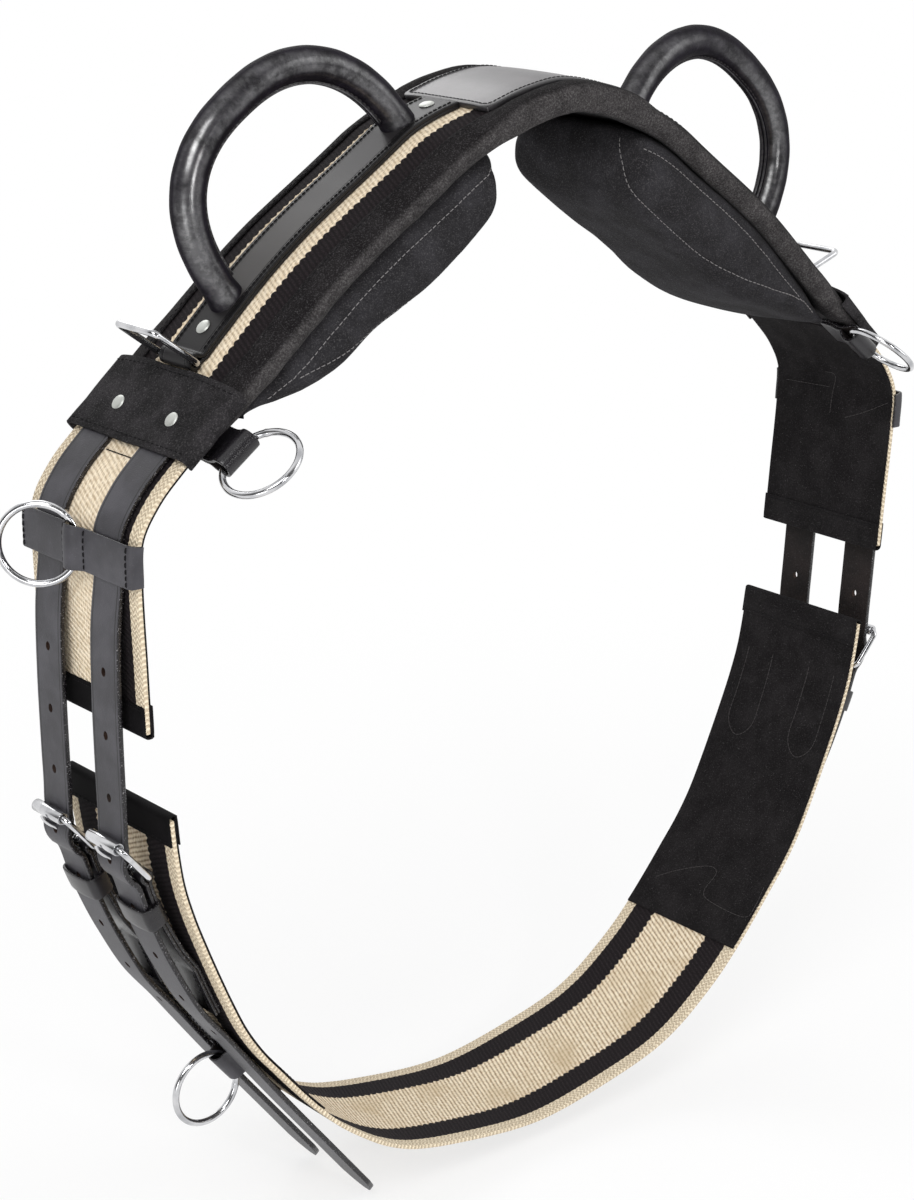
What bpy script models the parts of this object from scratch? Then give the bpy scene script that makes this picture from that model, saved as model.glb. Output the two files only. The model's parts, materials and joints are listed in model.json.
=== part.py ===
"""Lunging surcingle, buckled closed as it lies round a horse.

Metres, +Z up, +X to the surcingle's right side, -Y towards its front edge.
The origin is the underside of the pad at the withers, on the plane of symmetry.
Lengths on the band run from the withers, on the flaps and the girth from their own ends.
"""

import math

import bmesh
import bpy
from mathutils import Matrix, Vector

# Clearances
GAP = 0.0003  # between pieces that touch
PIN_PLAY = 0.0004  # round a bar or wire that turns in its seat

# The closed loop, over the webbing's outside
LOOP_WIDTH = 0.675
LOOP_DEPTH = 0.723

# Strap widths and thicknesses that other pieces are fitted to
STRIP_WIDTH = 0.038
BILLET_WIDTH = 0.028
BILLET_THICK = 0.0035
BILLET_SPACING = 0.060
RING_WIRE = 0.0045

# Webbing band
WEB_WIDTH = 0.113
WEB_THICK = 0.003
LINING_THICK = 0.0025
CROWN = 0.017  # rise of the band over the stuffed panels
CROWN_WITHERS = 0.006
CROWN_FLAT = STRIP_WIDTH  # width that stays flat, under the handle strips
CROWN_SPREAD = 0.007  # by which the crown's curve is wider than the webbing
CROWN_SHOULDER = 0.0225  # from the webbing's edge to the middle of the crown's slope
CROWN_START = 0.045
CROWN_FULL = 0.110
CROWN_FADE = 0.235
CROWN_END = 0.3475

# Base pad and panels, lengths along the band from the withers
PAD_THICK = 0.0115
PAD_END_THICK = 0.004
PAD_TAPER = 0.312
PAD_END = 0.345
LIP_THICK = 0.0018
LIP_REACH = 0.0095  # how far the suede rim laps over the webbing
RIM_OVERHANG = 0.006
PANEL_START = 0.062
PANEL_END = 0.325
PANEL_DEPTH = 0.050
PANEL_OVERHANG = 0.0135
PANEL_WIDTH = WEB_WIDTH + 2 * PANEL_OVERHANG

# Leather over the withers and under the handles
BRIDGE_LENGTH = 0.126
BRIDGE_THICK = 0.0055
BRIDGE_GAP = 0.0005
BRIDGE_WIDTH = WEB_WIDTH - 2 * (LIP_REACH + BRIDGE_GAP)
STRIP_THICK = 0.005
STRIP_START = 0.0635
STRIP_END = 0.304
STRIP_SHOULDER = STRIP_END - 0.0035  # below here it narrows to fit inside its ring
STRIP_FOLD = 0.0025
STRIP_EYE = RING_WIRE / 2 + PIN_PLAY + STRIP_FOLD  # radius of the fold round its ring
STRIP_EYE_AT = STRIP_END + 0.55 * STRIP_EYE

# Handles
HANDLE_TOP = 0.098  # upper and lower foot, along the band
HANDLE_LOW = 0.259
HANDLE_RISE = 0.0855
HANDLE_LEAN = 6.0  # degrees that the arch leans to the rear
HANDLE_SAG = 0.003  # how far its top is drawn towards its lower foot
HANDLE_POWER = 2.35  # squareness of the arch
HANDLE_DIAMETER = 0.0215
ROD_DIAMETER = 0.012
PLATE_WIDTH = STRIP_WIDTH - 0.012
PLATE_THICK = 0.002
PLATE_MARGIN = 0.034

# Rivets
RIVET_HEAD = 0.009
RIVET_SHANK = 0.004
RIVET_DOME = 0.0015
BURR_DIAMETER = 0.008
BURR_THICK = 0.001
RIVET_OUTSET = 0.024  # from a handle foot to its rivet

# Patch over the joint of band and side flap
PATCH_START = STRIP_EYE_AT + STRIP_EYE + 2 * GAP
PATCH_END = 0.366
PATCH_THICK = 0.002
PATCH_GAP = 0.0005
PATCH_WIDTH = WEB_WIDTH + 2 * (RIM_OVERHANG + PATCH_THICK + PATCH_GAP)
PATCH_RIVET_SPACING = 0.051
PATCH_RIVET_AT = 0.339

# Side flaps
FLAP_START = 0.3485

# Buckles
FRAME_WIRE = 0.004
FRAME_WIDTH = BILLET_WIDTH + 2 * (FRAME_WIRE + 0.0025)
ROLLER_FROM_HEEL = (0.021, 0.024)  # how a buckle lies: its roller out from and above its heel bar
ROLLER_DIAMETER = 0.008
ROLLER_LENGTH = BILLET_WIDTH + 0.002
PRONG_WIRE = 0.0032

# Billets
BILLET_ROOT = 0.350
BILLET_FREE = 0.092  # up from the hem of the flap, where it leaves the flap
BILLET_LANDING = 0.0434  # from the end of its free way to where a right-hand one lies on the girth
BILLET_TAIL = 0.170  # and on from there to its tip
TIP_LENGTH = 0.018
HOLE_PITCH = 0.040
HOLE_DIAMETER = 0.0045
PRONG_HOLE = PRONG_WIRE + 0.0014  # bored along the prong, so that it is longer than it is wide
HOLES_ABOVE = 3
HOLES_BELOW = 4

# Chapes, from the heel bar to the girth
CHAPE_THICK = 0.005
CHAPE_LANDING = 0.018  # from the end of its free way to where it lies on the girth
CHAPE_SEAT = 0.039  # sewn down on the girth
CHAPE_LEATHER = 0.0025
KEEPER_AT = 0.027  # from the heel bar, along the chape
KEEPER_WIDTH = 0.015
KEEPER_LEATHER = 0.0018
KEEPER_SLACK = 0.0036
CREW_SLOT = PRONG_WIRE + 0.0058
CREW_SLOT_LENGTH = FRAME_WIRE + 2 * (PIN_PLAY + PRONG_WIRE) + 0.0038

# Girth
GIRTH_LINING_START = 0.273

# Rings
RING_DIAMETER = 0.053
RING_SIDES = 24
SQUARE_RING = 0.043
SQUARE_CORNER = 0.003
CHANNEL = 0.027  # length of leather that a ring turns in
TAB_LEATHER = 0.002
CROSS_AT = 0.107  # up from the hem of the flap
CROSS_LEATHER = 0.0022
FRONT_TAB_AT = 0.339
FRONT_TAB_OUTSET = 0.0008  # from the pad's rim to the ring's channel
FRONT_TAB_NECK = 0.022
GIRTH_TAB_AT = 0.229
GIRTH_TAB_LENGTH = 0.110
GIRTH_TAB_WIDTH = BILLET_SPACING - BILLET_WIDTH - 0.006
GIRTH_TAB_THICK = 0.0025

# Swing of the rings from the straight-out place, as they hang in use
CROSS_RING_SWING = 41.9
FRONT_RING_DROOP = 6.0
SQUARE_RING_LEFT = (-0.82, 0.57)
SQUARE_RING_RIGHT = (0.94, 0.34)

SIDES = {"left": -1, "right": 1}
ROWS = {"front": -1, "rear": 1}

# The loop that the points below are drawn for; they are stretched to the loop's own size.
DRAWN_WIDTH = 0.675
DRAWN_DEPTH = 0.723


def fitted(points):
    return [(x * LOOP_WIDTH / DRAWN_WIDTH, z * LOOP_DEPTH / DRAWN_DEPTH) for x, z in points]


# Half of the band's outer line, from the withers to the hem of the side flap
TOP_LINE = fitted(
    [
        (0.0, 0.0),
        (0.027, -0.004),
        (0.063, -0.017),
        (0.121, -0.056),
        (0.177, -0.094),
        (0.227, -0.135),
        (0.284, -0.176),
        (0.318, -0.206),
        (0.3355, -0.230),
        (0.3375, -0.261),
        (0.3350, -0.3085),
        (0.3325, -0.3560),
    ]
)
# Half of the girth's outer line, from the middle of the belly to the girth's end
GIRTH_LINE = fitted(
    [
        (0.0, -0.723),
        (0.068, -0.715),
        (0.125, -0.701),
        (0.167, -0.676),
        (0.199, -0.648),
        (0.236, -0.606),
        (0.262, -0.571),
        (0.293, -0.504),
        (0.310, -0.456),
        (0.317, -0.409),
    ]
)
HEEL_AT = fitted([(0.325, -0.450)])[0]
ROLLER_AT = (HEEL_AT[0] + ROLLER_FROM_HEEL[0], HEEL_AT[1] + ROLLER_FROM_HEEL[1])
# Ways that straps take between the flap and the girth
BILLET_GAP_LINE = fitted([(0.3425, -0.296), (0.3425, -0.340), (0.3410, -0.386), (0.3400, -0.408)])
CHAPE_LINE = fitted([(0.3215, -0.4615), (0.3160, -0.4760), (0.3085, -0.4910), (0.2995, -0.5070)])
BILLET_KEEPER_LINE = fitted(
    [(0.3225, -0.479), (0.3140, -0.499), (0.3035, -0.520), (0.2850, -0.552), (0.2625, -0.580)]
)
LEFT_TAIL_LINE = fitted([(0.244, -0.604), (0.215, -0.641), (0.180, -0.684), (0.136, -0.738)])


def clear_scene():
    for obj in list(bpy.data.objects):
        bpy.data.objects.remove(obj, do_unlink=True)


clear_scene()
PARTS = bpy.data.collections.new("lunging_surcingle")
CUTTERS = bpy.data.collections.new("cutters")
bpy.context.scene.collection.children.link(PARTS)
bpy.context.scene.collection.children.link(CUTTERS)


def material(name, colour, roughness, metallic=0.0):
    made = bpy.data.materials.new(name)
    made.use_nodes = True
    shader = made.node_tree.nodes["Principled BSDF"]
    shader.inputs["Base Color"].default_value = (*colour, 1.0)
    shader.inputs["Roughness"].default_value = roughness
    shader.inputs["Metallic"].default_value = metallic
    return made


WEBBING = material("jute_webbing", (0.62, 0.53, 0.38), 0.9)
SUEDE = material("black_suede", (0.018, 0.018, 0.020), 0.95)
STRAP = material("strap_leather", (0.070, 0.068, 0.075), 0.45)
GRIP = material("handle_leather", (0.050, 0.045, 0.060), 0.35)
NICKEL = material("polished_nickel", (0.75, 0.75, 0.76), 0.12, 1.0)
STEEL = material("steel", (0.45, 0.45, 0.46), 0.4, 1.0)


def steps(low, high, count):
    return [low + (high - low) * i / (count - 1) for i in range(count)]


class Line:
    """A smooth curve in the XZ plane, cut into straight pieces at stations that every part on it shares.

    Lengths are measured from x = 0 on a mirrored line, and from the first point on any other.
    side is 1 where the outside is to the left of the direction of travel, and -1 where it is to the right.
    """

    SMOOTHING = 12

    def __init__(self, points, longest, sharpest=0.6, side=1, mirror=False):
        if mirror:
            points = [(-x, z) for x, z in reversed(points[1:])] + list(points)
        dense = self.smooth([Vector(p) for p in points])
        if mirror:
            self.points = self.mirrored_stations(dense, longest)
        else:
            self.points = self.stations_of(dense, longest, sharpest)
        self.lengths = [0.0]
        for a, b in zip(self.points, self.points[1:]):
            self.lengths.append(self.lengths[-1] + (b - a).length)
        if mirror:
            half = self.lengths[-1] / 2
            self.lengths = [length - half for length in self.lengths]
        self.chords = [(b - a).normalized() for a, b in zip(self.points, self.points[1:])]
        ends = [self.chords[0]] + self.chords + [self.chords[-1]]
        self.outwards = []
        for before, after in zip(ends, ends[1:]):
            mean = (before + after).normalized()
            outward = Vector((-mean.y, mean.x)) * side
            self.outwards.append(outward / max(mean.dot(before), 0.5))
        self.side = side

    def smooth(self, points):
        """Catmull-Rom points through the given ones."""
        ends = [2 * points[0] - points[1]] + points + [2 * points[-1] - points[-2]]
        dense = []
        for a, b, c, d in zip(ends, ends[1:], ends[2:], ends[3:]):
            square, cube = 2 * a - 5 * b + 4 * c - d, 3 * b - a - 3 * c + d
            for t in steps(0.0, 1.0, self.SMOOTHING + 1)[:-1]:
                dense.append(0.5 * (2 * b + (c - a) * t + square * t**2 + cube * t**3))
        return dense + [points[-1]]

    def stations_of(self, dense, longest, sharpest):
        """The points where the curve has run on by longest, or turned by sharpest radians."""
        kept = [dense[0]]
        heading = dense[1] - dense[0]
        for before, at, after in zip(dense, dense[1:], dense[2:]):
            turned_by = heading.angle(after - at, 0.0)
            if (after - kept[-1]).length > longest or turned_by > sharpest:
                kept.append(at)
                heading = after - at
        return kept + [dense[-1]]

    def mirrored_stations(self, dense, longest):
        """Evenly spaced points, with one on x = 0."""
        lengths = [0.0]
        for a, b in zip(dense, dense[1:]):
            lengths.append(lengths[-1] + (b - a).length)
        count = 2 * math.ceil(lengths[-1] / longest / 2) + 1
        kept = []
        i = 0
        for s in steps(0.0, lengths[-1], count):
            while i < len(dense) - 2 and lengths[i + 1] < s:
                i += 1
            t = (s - lengths[i]) / (lengths[i + 1] - lengths[i])
            kept.append(dense[i].lerp(dense[i + 1], t))
        return kept

    def piece(self, s):
        """Which straight piece s is on, and how far along it."""
        i = 0
        while i < len(self.chords) - 1 and self.lengths[i + 1] < s:
            i += 1
        return i, (s - self.lengths[i]) / (self.lengths[i + 1] - self.lengths[i])

    def place(self, s):
        """(point, direction, outward) at the length s."""
        i, t = self.piece(s)
        chord = self.chords[i]
        return self.points[i].lerp(self.points[i + 1], t), chord, Vector((-chord.y, chord.x)) * self.side

    def offset(self, s, lift):
        i, t = self.piece(s)
        near = self.points[i] + self.outwards[i] * lift
        far = self.points[i + 1] + self.outwards[i + 1] * lift
        return near.lerp(far, t)

    def between(self, start, end):
        """The lengths start and end, and the stations between them."""
        low, high = min(start, end), max(start, end)
        inside = [s for s in self.lengths if low + 0.0015 < s < high - 0.0015]
        lengths = [low] + inside + [high]
        return lengths if start < end else lengths[::-1]

    def end(self):
        return self.lengths[-1]

    def nearest(self, target):
        """Length of the point of the line nearest to target."""
        target = Vector(target)
        tries = steps(self.lengths[0], self.lengths[-1], 1500)
        return min(tries, key=lambda s: (self.offset(s, 0.0) - target).length)


def ease(t):
    t = min(max(t, 0.0), 1.0)
    return t * t * (3 - 2 * t)


TOP = Line(TOP_LINE, 0.025, side=1, mirror=True)
GIRTH = Line(GIRTH_LINE, 0.025, side=-1, mirror=True)
FLAP_HEM = TOP.end()
GIRTH_END = GIRTH.end()
EDGE = WEB_WIDTH / 2
ACROSS_HALF = [CROWN_FLAT / 2, EDGE - CROWN_SHOULDER, EDGE - LIP_REACH, EDGE + 0.001, EDGE + 0.0115]
ACROSS = [-y for y in reversed(ACROSS_HALF)] + [0.0] + ACROSS_HALF


def crown_along(s):
    s = abs(s)
    rise = CROWN_WITHERS + (CROWN - CROWN_WITHERS) * ease((s - CROWN_START) / (CROWN_FULL - CROWN_START))
    fade = min(max((s - CROWN_FADE) / (CROWN_END - CROWN_FADE), 0.0), 1.0)
    return rise * math.cos(fade * math.pi / 2)


def crown_across(y):
    """Height of the crown at y, and its slope there, both per unit of the crown's height."""
    span = (WEB_WIDTH + CROWN_SPREAD - CROWN_FLAT) / 2
    beyond = max(abs(y) - CROWN_FLAT / 2, 0.0) / span
    return 1 - beyond * beyond, math.copysign(2 * beyond / span, -y)


def in_space(flat, y):
    return Vector((flat.x, y, flat.y))


def band_node(i, j, lift):
    """The point over the crowned webbing at the band's station i and the width's station j."""
    out = in_space(TOP.outwards[i], 0.0)
    rise = crown_along(TOP.lengths[i])
    height, slope = crown_across(ACROSS[j])
    normal = (out.normalized() - Vector((0, rise * slope, 0))).normalized() * out.length
    return in_space(TOP.points[i], ACROSS[j]) + out * rise * height + normal * lift


def on_band(s, y, lift):
    """The point at lift above the webbing's crowned outer face, s along the band and y across it."""
    near, t = TOP.piece(s)
    inner = 0
    while inner < len(ACROSS) - 2 and ACROSS[inner + 1] < y:
        inner += 1
    u = (y - ACROSS[inner]) / (ACROSS[inner + 1] - ACROSS[inner])
    far, outer = near + 1, inner + 1
    if s < 0:
        near, far, t = far, near, 1 - t
    if y < 0:
        inner, outer, u = outer, inner, 1 - u
    # Each cell of the surface is two flat triangles, parted from its inner corner to its outer one.
    start = band_node(near, inner, lift)
    end = band_node(far, outer, lift)
    if t > u:
        corner = band_node(far, inner, lift)
        return start + (corner - start) * t + (end - corner) * u
    corner = band_node(near, outer, lift)
    return start + (corner - start) * u + (end - corner) * t


def above_band(s, lift):
    """The same on the band's flat middle, as a point of the XZ plane."""
    point = on_band(s, 0.0, lift)
    return Vector((point.x, point.z))


def widths(low, high):
    """low and high, and the width's stations between them."""
    return [low] + [y for y in ACROSS if low + 0.0005 < y < high - 0.0005] + [high]


def pad_thick(s):
    return PAD_THICK + (PAD_END_THICK - PAD_THICK) * ease((abs(s) - PAD_TAPER) / (PAD_END - PAD_TAPER))


def pad_underside(s):
    return -(WEB_THICK + GAP + pad_thick(s))


# The origin lies on the pad's underside at the withers.
DROP = Vector((0, 0, -(crown_along(0.0) + pad_underside(0.0))))


def finish(obj, paint):
    for holder in list(obj.users_collection):
        holder.objects.unlink(obj)
    PARTS.objects.link(obj)
    if obj.data.materials:
        obj.data.materials[0] = paint
    else:
        obj.data.materials.append(paint)
    return obj


def mesh_object(name, bm, matrix=None):
    mesh = bpy.data.meshes.new(name)
    bmesh.ops.recalc_face_normals(bm, faces=bm.faces)
    bm.to_mesh(mesh)
    bm.free()
    obj = bpy.data.objects.new(name, mesh)
    PARTS.objects.link(obj)
    obj.matrix_world = Matrix.Translation(DROP) if matrix is None else matrix
    return obj


def to_mesh(obj):
    """The curve object as a closed mesh object of the same name and place."""
    bpy.context.view_layer.update()
    graph = bpy.context.evaluated_depsgraph_get()
    bm = bmesh.new()
    made = bpy.data.meshes.new_from_object(obj.evaluated_get(graph))
    bm.from_mesh(made)
    bmesh.ops.remove_doubles(bm, verts=bm.verts, dist=1e-6)
    name, matrix = obj.name, obj.matrix_world.copy()
    bpy.data.objects.remove(obj, do_unlink=True)
    bpy.data.meshes.remove(made)
    return mesh_object(name, bm, matrix)


def flat_shape(name, loops, length, matrix):
    """Closed outlines in the object's own XY plane, drawn out by length along its Z, half to each side."""
    curve = bpy.data.curves.new(name, "CURVE")
    curve.dimensions = "2D"
    curve.fill_mode = "BOTH"
    curve.extrude = length / 2
    for loop in loops:
        spline = curve.splines.new("POLY")
        spline.points.add(len(loop) - 1)
        spline.use_cyclic_u = True
        for point, (x, y) in zip(spline.points, loop):
            point.co = (x, y, 0, 1)
    obj = bpy.data.objects.new(name, curve)
    PARTS.objects.link(obj)
    obj.matrix_world = matrix
    return to_mesh(obj)


def axes(origin, x_axis, y_axis, z_axis):
    """A matrix with the given origin and directions."""
    rotation = Matrix((Vector(x_axis), Vector(y_axis), Vector(z_axis))).transposed()
    return Matrix.Translation(Vector(origin)) @ rotation.to_4x4()


def upright(y):
    """Puts an outline drawn in XZ into the surcingle, centred at y."""
    return axes(DROP + Vector((0, y, 0)), (1, 0, 0), (0, 0, 1), (0, -1, 0))


def arc(centre, radius, start, end, count):
    """Points on an arc, angles in degrees."""
    return [
        (centre[0] + radius * math.cos(math.radians(a)), centre[1] + radius * math.sin(math.radians(a)))
        for a in steps(start, end, count)
    ]


def ribbon(line, start, end, low, high):
    """Pairs of inner and outer points of a strap that follows line between two lifts."""
    return [(tuple(line.offset(s, low)), tuple(line.offset(s, high))) for s in line.between(start, end)]


def outline(pairs, sign=1):
    """A strap's outline, mirrored for sign -1."""
    loop = [outer for _, outer in pairs] + [inner for inner, _ in reversed(pairs)]
    return [(sign * x, z) for x, z in loop]


def band_ribbon(start, end, low, high):
    """Pairs of points of a strap that lies on the crowned band's flat middle."""
    return [(tuple(above_band(s, low)), tuple(above_band(s, high))) for s in TOP.between(start, end)]


def around(radius, sides):
    """Corner radius of a polygon that stands clear of a circle of the given radius."""
    return radius / math.cos(math.pi / sides)


def tube(name, points, diameter, closed=False, resolution=2, caps=True):
    """A round wire through points given in space."""
    curve = bpy.data.curves.new(name, "CURVE")
    curve.dimensions = "3D"
    curve.bevel_depth = diameter / 2
    curve.bevel_resolution = resolution
    curve.use_fill_caps = caps and not closed
    spline = curve.splines.new("POLY")
    spline.points.add(len(points) - 1)
    spline.use_cyclic_u = closed
    for point, place in zip(spline.points, points):
        point.co = (*place, 1)
    obj = bpy.data.objects.new(name, curve)
    PARTS.objects.link(obj)
    return obj


def turned(name, profile, matrix, segments=12):
    """A solid of revolution about the object's Z, from a profile of (radius, height) run top to bottom."""
    bm = bmesh.new()
    corners = [bm.verts.new((radius, 0, height)) for radius, height in profile]
    for a, b in zip(corners, corners[1:]):
        bm.edges.new((a, b))
    mesh = bpy.data.meshes.new(name)
    bm.to_mesh(mesh)
    bm.free()
    obj = bpy.data.objects.new(name, mesh)
    PARTS.objects.link(obj)
    screw = obj.modifiers.new("turn", "SCREW")
    screw.axis = "Z"
    screw.steps = segments
    screw.render_steps = segments
    screw.use_merge_vertices = True
    screw.merge_threshold = 1e-6
    obj.matrix_world = matrix
    return obj


def loft(name, sections):
    """A closed solid through rings of points that all have the same count.

    Its cells are parted the way on_band parts them, so that neighbouring layers fit face to face.
    """
    bm = bmesh.new()
    rings = [[bm.verts.new(point) for point in section] for section in sections]
    for one, two in zip(rings, rings[1:]):
        for i in range(len(one)):
            j = (i + 1) % len(one)
            a, b, c, d = one[i], one[j], two[j], two[i]
            if (abs(c.co.x) - abs(a.co.x)) * (abs(c.co.y) - abs(a.co.y)) < 0:
                a, b, c, d = b, c, d, a
            bm.faces.new((a, b, c))
            bm.faces.new((a, c, d))
    bm.faces.new(list(reversed(rings[0])))
    bm.faces.new(rings[-1])
    return mesh_object(name, bm)


def draped(name, start, end, width, low, high):
    """A sheet laid on the crowned band between two lifts."""
    sections = []
    for s in TOP.between(start, end):
        across = widths(-width / 2, width / 2)
        sections.append([on_band(s, y, high) for y in across])
        sections[-1] += [on_band(s, y, low) for y in reversed(across)]
    return loft(name, sections)


def boolean(obj, other, operation):
    """Cuts obj by other, or joins other to it; other is kept as a hidden helper."""
    for holder in list(other.users_collection):
        holder.objects.unlink(other)
    CUTTERS.objects.link(other)
    other.hide_render = True
    other.display_type = "WIRE"
    step = obj.modifiers.new(operation.lower(), "BOOLEAN")
    step.operation = operation
    step.object = other
    step.solver = "EXACT"
    return obj


def cut(obj, other):
    return boolean(obj, other, "DIFFERENCE")


def join(obj, other):
    return boolean(obj, other, "UNION")


def cylinder(name, diameter, length, matrix, sides=12):
    bm = bmesh.new()
    radius = diameter / 2
    bmesh.ops.create_cone(bm, cap_ends=True, segments=sides, radius1=radius, radius2=radius, depth=length)
    return mesh_object(name, bm, matrix)


def block(name, size, matrix=None):
    bm = bmesh.new()
    bmesh.ops.create_cube(bm, size=1.0)
    bmesh.ops.scale(bm, vec=size, verts=bm.verts)
    return mesh_object(name, bm, matrix)


def band_axes(s, y, lift):
    """Axes at lift above the crowned webbing: X along the band, Y across it, Z out of it."""
    reach = 0.003
    along = (on_band(s + reach, y, lift) - on_band(s - reach, y, lift)).normalized()
    across = (on_band(s, y - reach, lift) - on_band(s, y + reach, lift)).normalized()
    out = across.cross(along).normalized()
    if out.z < 0:
        out = -out
    return axes(on_band(s, y, lift) + DROP, along, out.cross(along), out)


def ring_reach():
    """Distance from a ring's turning axis to its middle, and the radius that its wire sweeps."""
    mean = (RING_DIAMETER - RING_WIRE) / 2
    flat = mean * (1 - math.cos(math.pi / RING_SIDES))
    chord = math.sqrt(mean**2 - (CHANNEL / 2) ** 2) - flat
    return (mean + chord) / 2, (mean - chord) / 2 + RING_WIRE / 2


RING_OFFSET, RING_SWEEP = ring_reach()
RING_BORE = RING_SWEEP + PIN_PLAY  # radius of the leather channel


def round_ring(name, hinge, axis, out):
    """A ring whose origin is on its turning axis, standing out along out."""
    bpy.ops.mesh.primitive_torus_add(
        major_segments=RING_SIDES,
        minor_segments=6,
        major_radius=(RING_DIAMETER - RING_WIRE) / 2,
        minor_radius=RING_WIRE / 2,
    )
    obj = bpy.context.object
    obj.name = name
    obj.data.name = name
    stand_up = Matrix.Rotation(math.pi / 2, 4, "X")
    obj.data.transform(Matrix.Translation((RING_OFFSET, 0, 0)) @ stand_up)
    out = Vector(out).normalized()
    axis = Vector(axis).normalized()
    obj.matrix_world = axes(hinge, out, axis.cross(out), axis)
    return finish(obj, NICKEL)


def make_band():
    finish(draped("top_web", -CROWN_END, CROWN_END, WEB_WIDTH, -WEB_THICK, 0.0), WEBBING)
    inner = EDGE + GAP
    lip = EDGE - LIP_REACH
    rim = EDGE + RIM_OVERHANG
    floor = -(WEB_THICK + GAP)
    sections = []
    for s in TOP.between(-PAD_END, PAD_END):
        under = pad_underside(s)
        thick = pad_thick(s)
        half = [(y, floor) for y in widths(0.0, inner)]
        half += [
            (inner, GAP),
            (lip, GAP),
            (lip, GAP + LIP_THICK),
            (rim - 0.004, GAP + LIP_THICK),
            (rim, floor),
            (rim, floor - 0.5 * thick),
            (rim - 0.002, floor - 0.82 * thick),
        ]
        half += [(y, under) for y in reversed(widths(0.0, rim - 0.007))]
        right = [on_band(s, y, lift) for y, lift in half]
        left = [on_band(s, -y, lift) for y, lift in reversed(half[1:-1])]
        sections.append(right + left)
    finish(loft("base_pad", sections), SUEDE)
    # The bridge plate's long edges lie between the suede lips, clear of them.
    half_length = BRIDGE_LENGTH / 2
    bridge = draped("bridge_plate", -half_length, half_length, BRIDGE_WIDTH, GAP, GAP + BRIDGE_THICK)
    finish(bridge, STRAP)


# A panel's wall from its seat to its underside: shares of its half width and of its height
PANEL_WALL = [(0.86, 0.10), (0.955, 0.30), (1.0, 0.55), (0.975, 0.80), (0.89, 0.95), (0.62, 1.0)]


def panel_depth(share):
    """Depth of a panel's underside below the band, from the withers end, 0, to the flap end, 1."""
    if share < 0.10:
        return PANEL_DEPTH * (0.56 + 0.44 * math.sin(share / 0.10 * math.pi / 2))
    end = -pad_underside(PANEL_END) + 0.002
    fall = ease((share - 0.65) / 0.35)
    return PANEL_DEPTH + (end - PANEL_DEPTH) * fall


def make_panel(side, sign):
    sections = []
    half = PANEL_WIDTH / 2
    seat = EDGE + RIM_OVERHANG - 0.009
    lengths = TOP.between(PANEL_START, PANEL_END)
    for s in steps(lengths[0], lengths[1], 4)[:-1] + lengths[1:]:
        share = (s - PANEL_START) / (PANEL_END - PANEL_START)
        top_lift = pad_underside(s) - GAP
        depth = panel_depth(share)
        room = depth + top_lift
        slim = 1 - 0.10 * (1 - ease(share / 0.08)) - 0.13 * ease((share - 0.80) / 0.20)
        top = [on_band(sign * s, y, top_lift) for y in widths(-seat, seat)]
        wall = [(half * slim * across, top_lift - room * down) for across, down in PANEL_WALL]
        low = wall + [(0.0, -depth - 0.0015)] + [(-y, lift) for y, lift in reversed(wall)]
        under = [in_space(TOP.offset(sign * s, lift), y) for y, lift in low]
        sections.append(top + under)
    finish(loft(f"panel_{side}", sections), SUEDE)


def make_strip(side, sign):
    """The leather strip under a handle, over the steel plate, with an eye for the square ring."""
    top = GAP + STRIP_THICK
    bar = RING_WIRE / 2 + PIN_PLAY
    body = band_ribbon(sign * STRIP_START, sign * STRIP_END, GAP, top)
    strip = flat_shape(f"handle_strip_{side}", [outline(body)], STRIP_WIDTH, upright(0.0))
    centre = square_ring_axis(sign)
    fold = strip_fold_width()
    join(strip, cylinder(f"strip_eye_{side}", 2 * STRIP_EYE, fold, across_axes(centre, 0.0), 16))
    cut(strip, cylinder(f"strip_bore_{side}", 2 * around(bar, 16), STRIP_WIDTH, across_axes(centre, 0.0), 16))
    for y in (-1, 1):
        side_cut = block(f"shoulder_{side}", (0.03, 0.02, 0.04))
        side_cut.matrix_world = band_axes(sign * (STRIP_SHOULDER + 0.015), 0.0, 0.0) @ Matrix.Translation(
            (0, y * (fold / 2 + 0.01), 0)
        )
        cut(strip, side_cut)
    plate_start, plate_end = plate_ends()
    pocket = band_ribbon(
        sign * (plate_start - GAP), sign * (plate_end + GAP), GAP - 0.002, GAP + PLATE_THICK + GAP
    )
    cut(strip, flat_shape(f"plate_pocket_{side}", [outline(pocket)], PLATE_WIDTH + 2 * GAP, upright(0.0)))
    for s in (HANDLE_TOP, HANDLE_LOW):
        bore = 2 * around(ROD_DIAMETER / 2 + PIN_PLAY, 14)
        cut(strip, cylinder(f"foot_hole_{side}", bore, 0.02, foot_axes(sign, s), 14))
    for s in rivet_places():
        bore = 2 * around(RIVET_SHANK / 2 + PIN_PLAY, 8)
        cut(strip, cylinder(f"strip_rivet_hole_{side}", bore, 0.02, band_axes(sign * s, 0.0, 0.0), 8))
    finish(strip, STRAP)


def strip_fold_width():
    """Width of the strip's folded end, which turns inside its ring."""
    return SQUARE_RING - 2 * RING_WIRE - 2 * (SQUARE_CORNER - RING_WIRE / 2) - 2 * GAP


def plate_ends():
    return HANDLE_TOP - PLATE_MARGIN, HANDLE_LOW + PLATE_MARGIN


def rivet_places():
    return HANDLE_TOP - RIVET_OUTSET, HANDLE_LOW + RIVET_OUTSET


def across_axes(flat, y):
    """Axes at a point of the XZ plane, Z across the band."""
    return axes(in_space(Vector(flat), y) + DROP, (1, 0, 0), (0, 0, 1), (0, -1, 0))


def square_ring_axis(sign):
    """Where the square ring turns in the strip's folded lower end."""
    return above_band(sign * STRIP_EYE_AT, GAP + STRIP_EYE)


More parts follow.
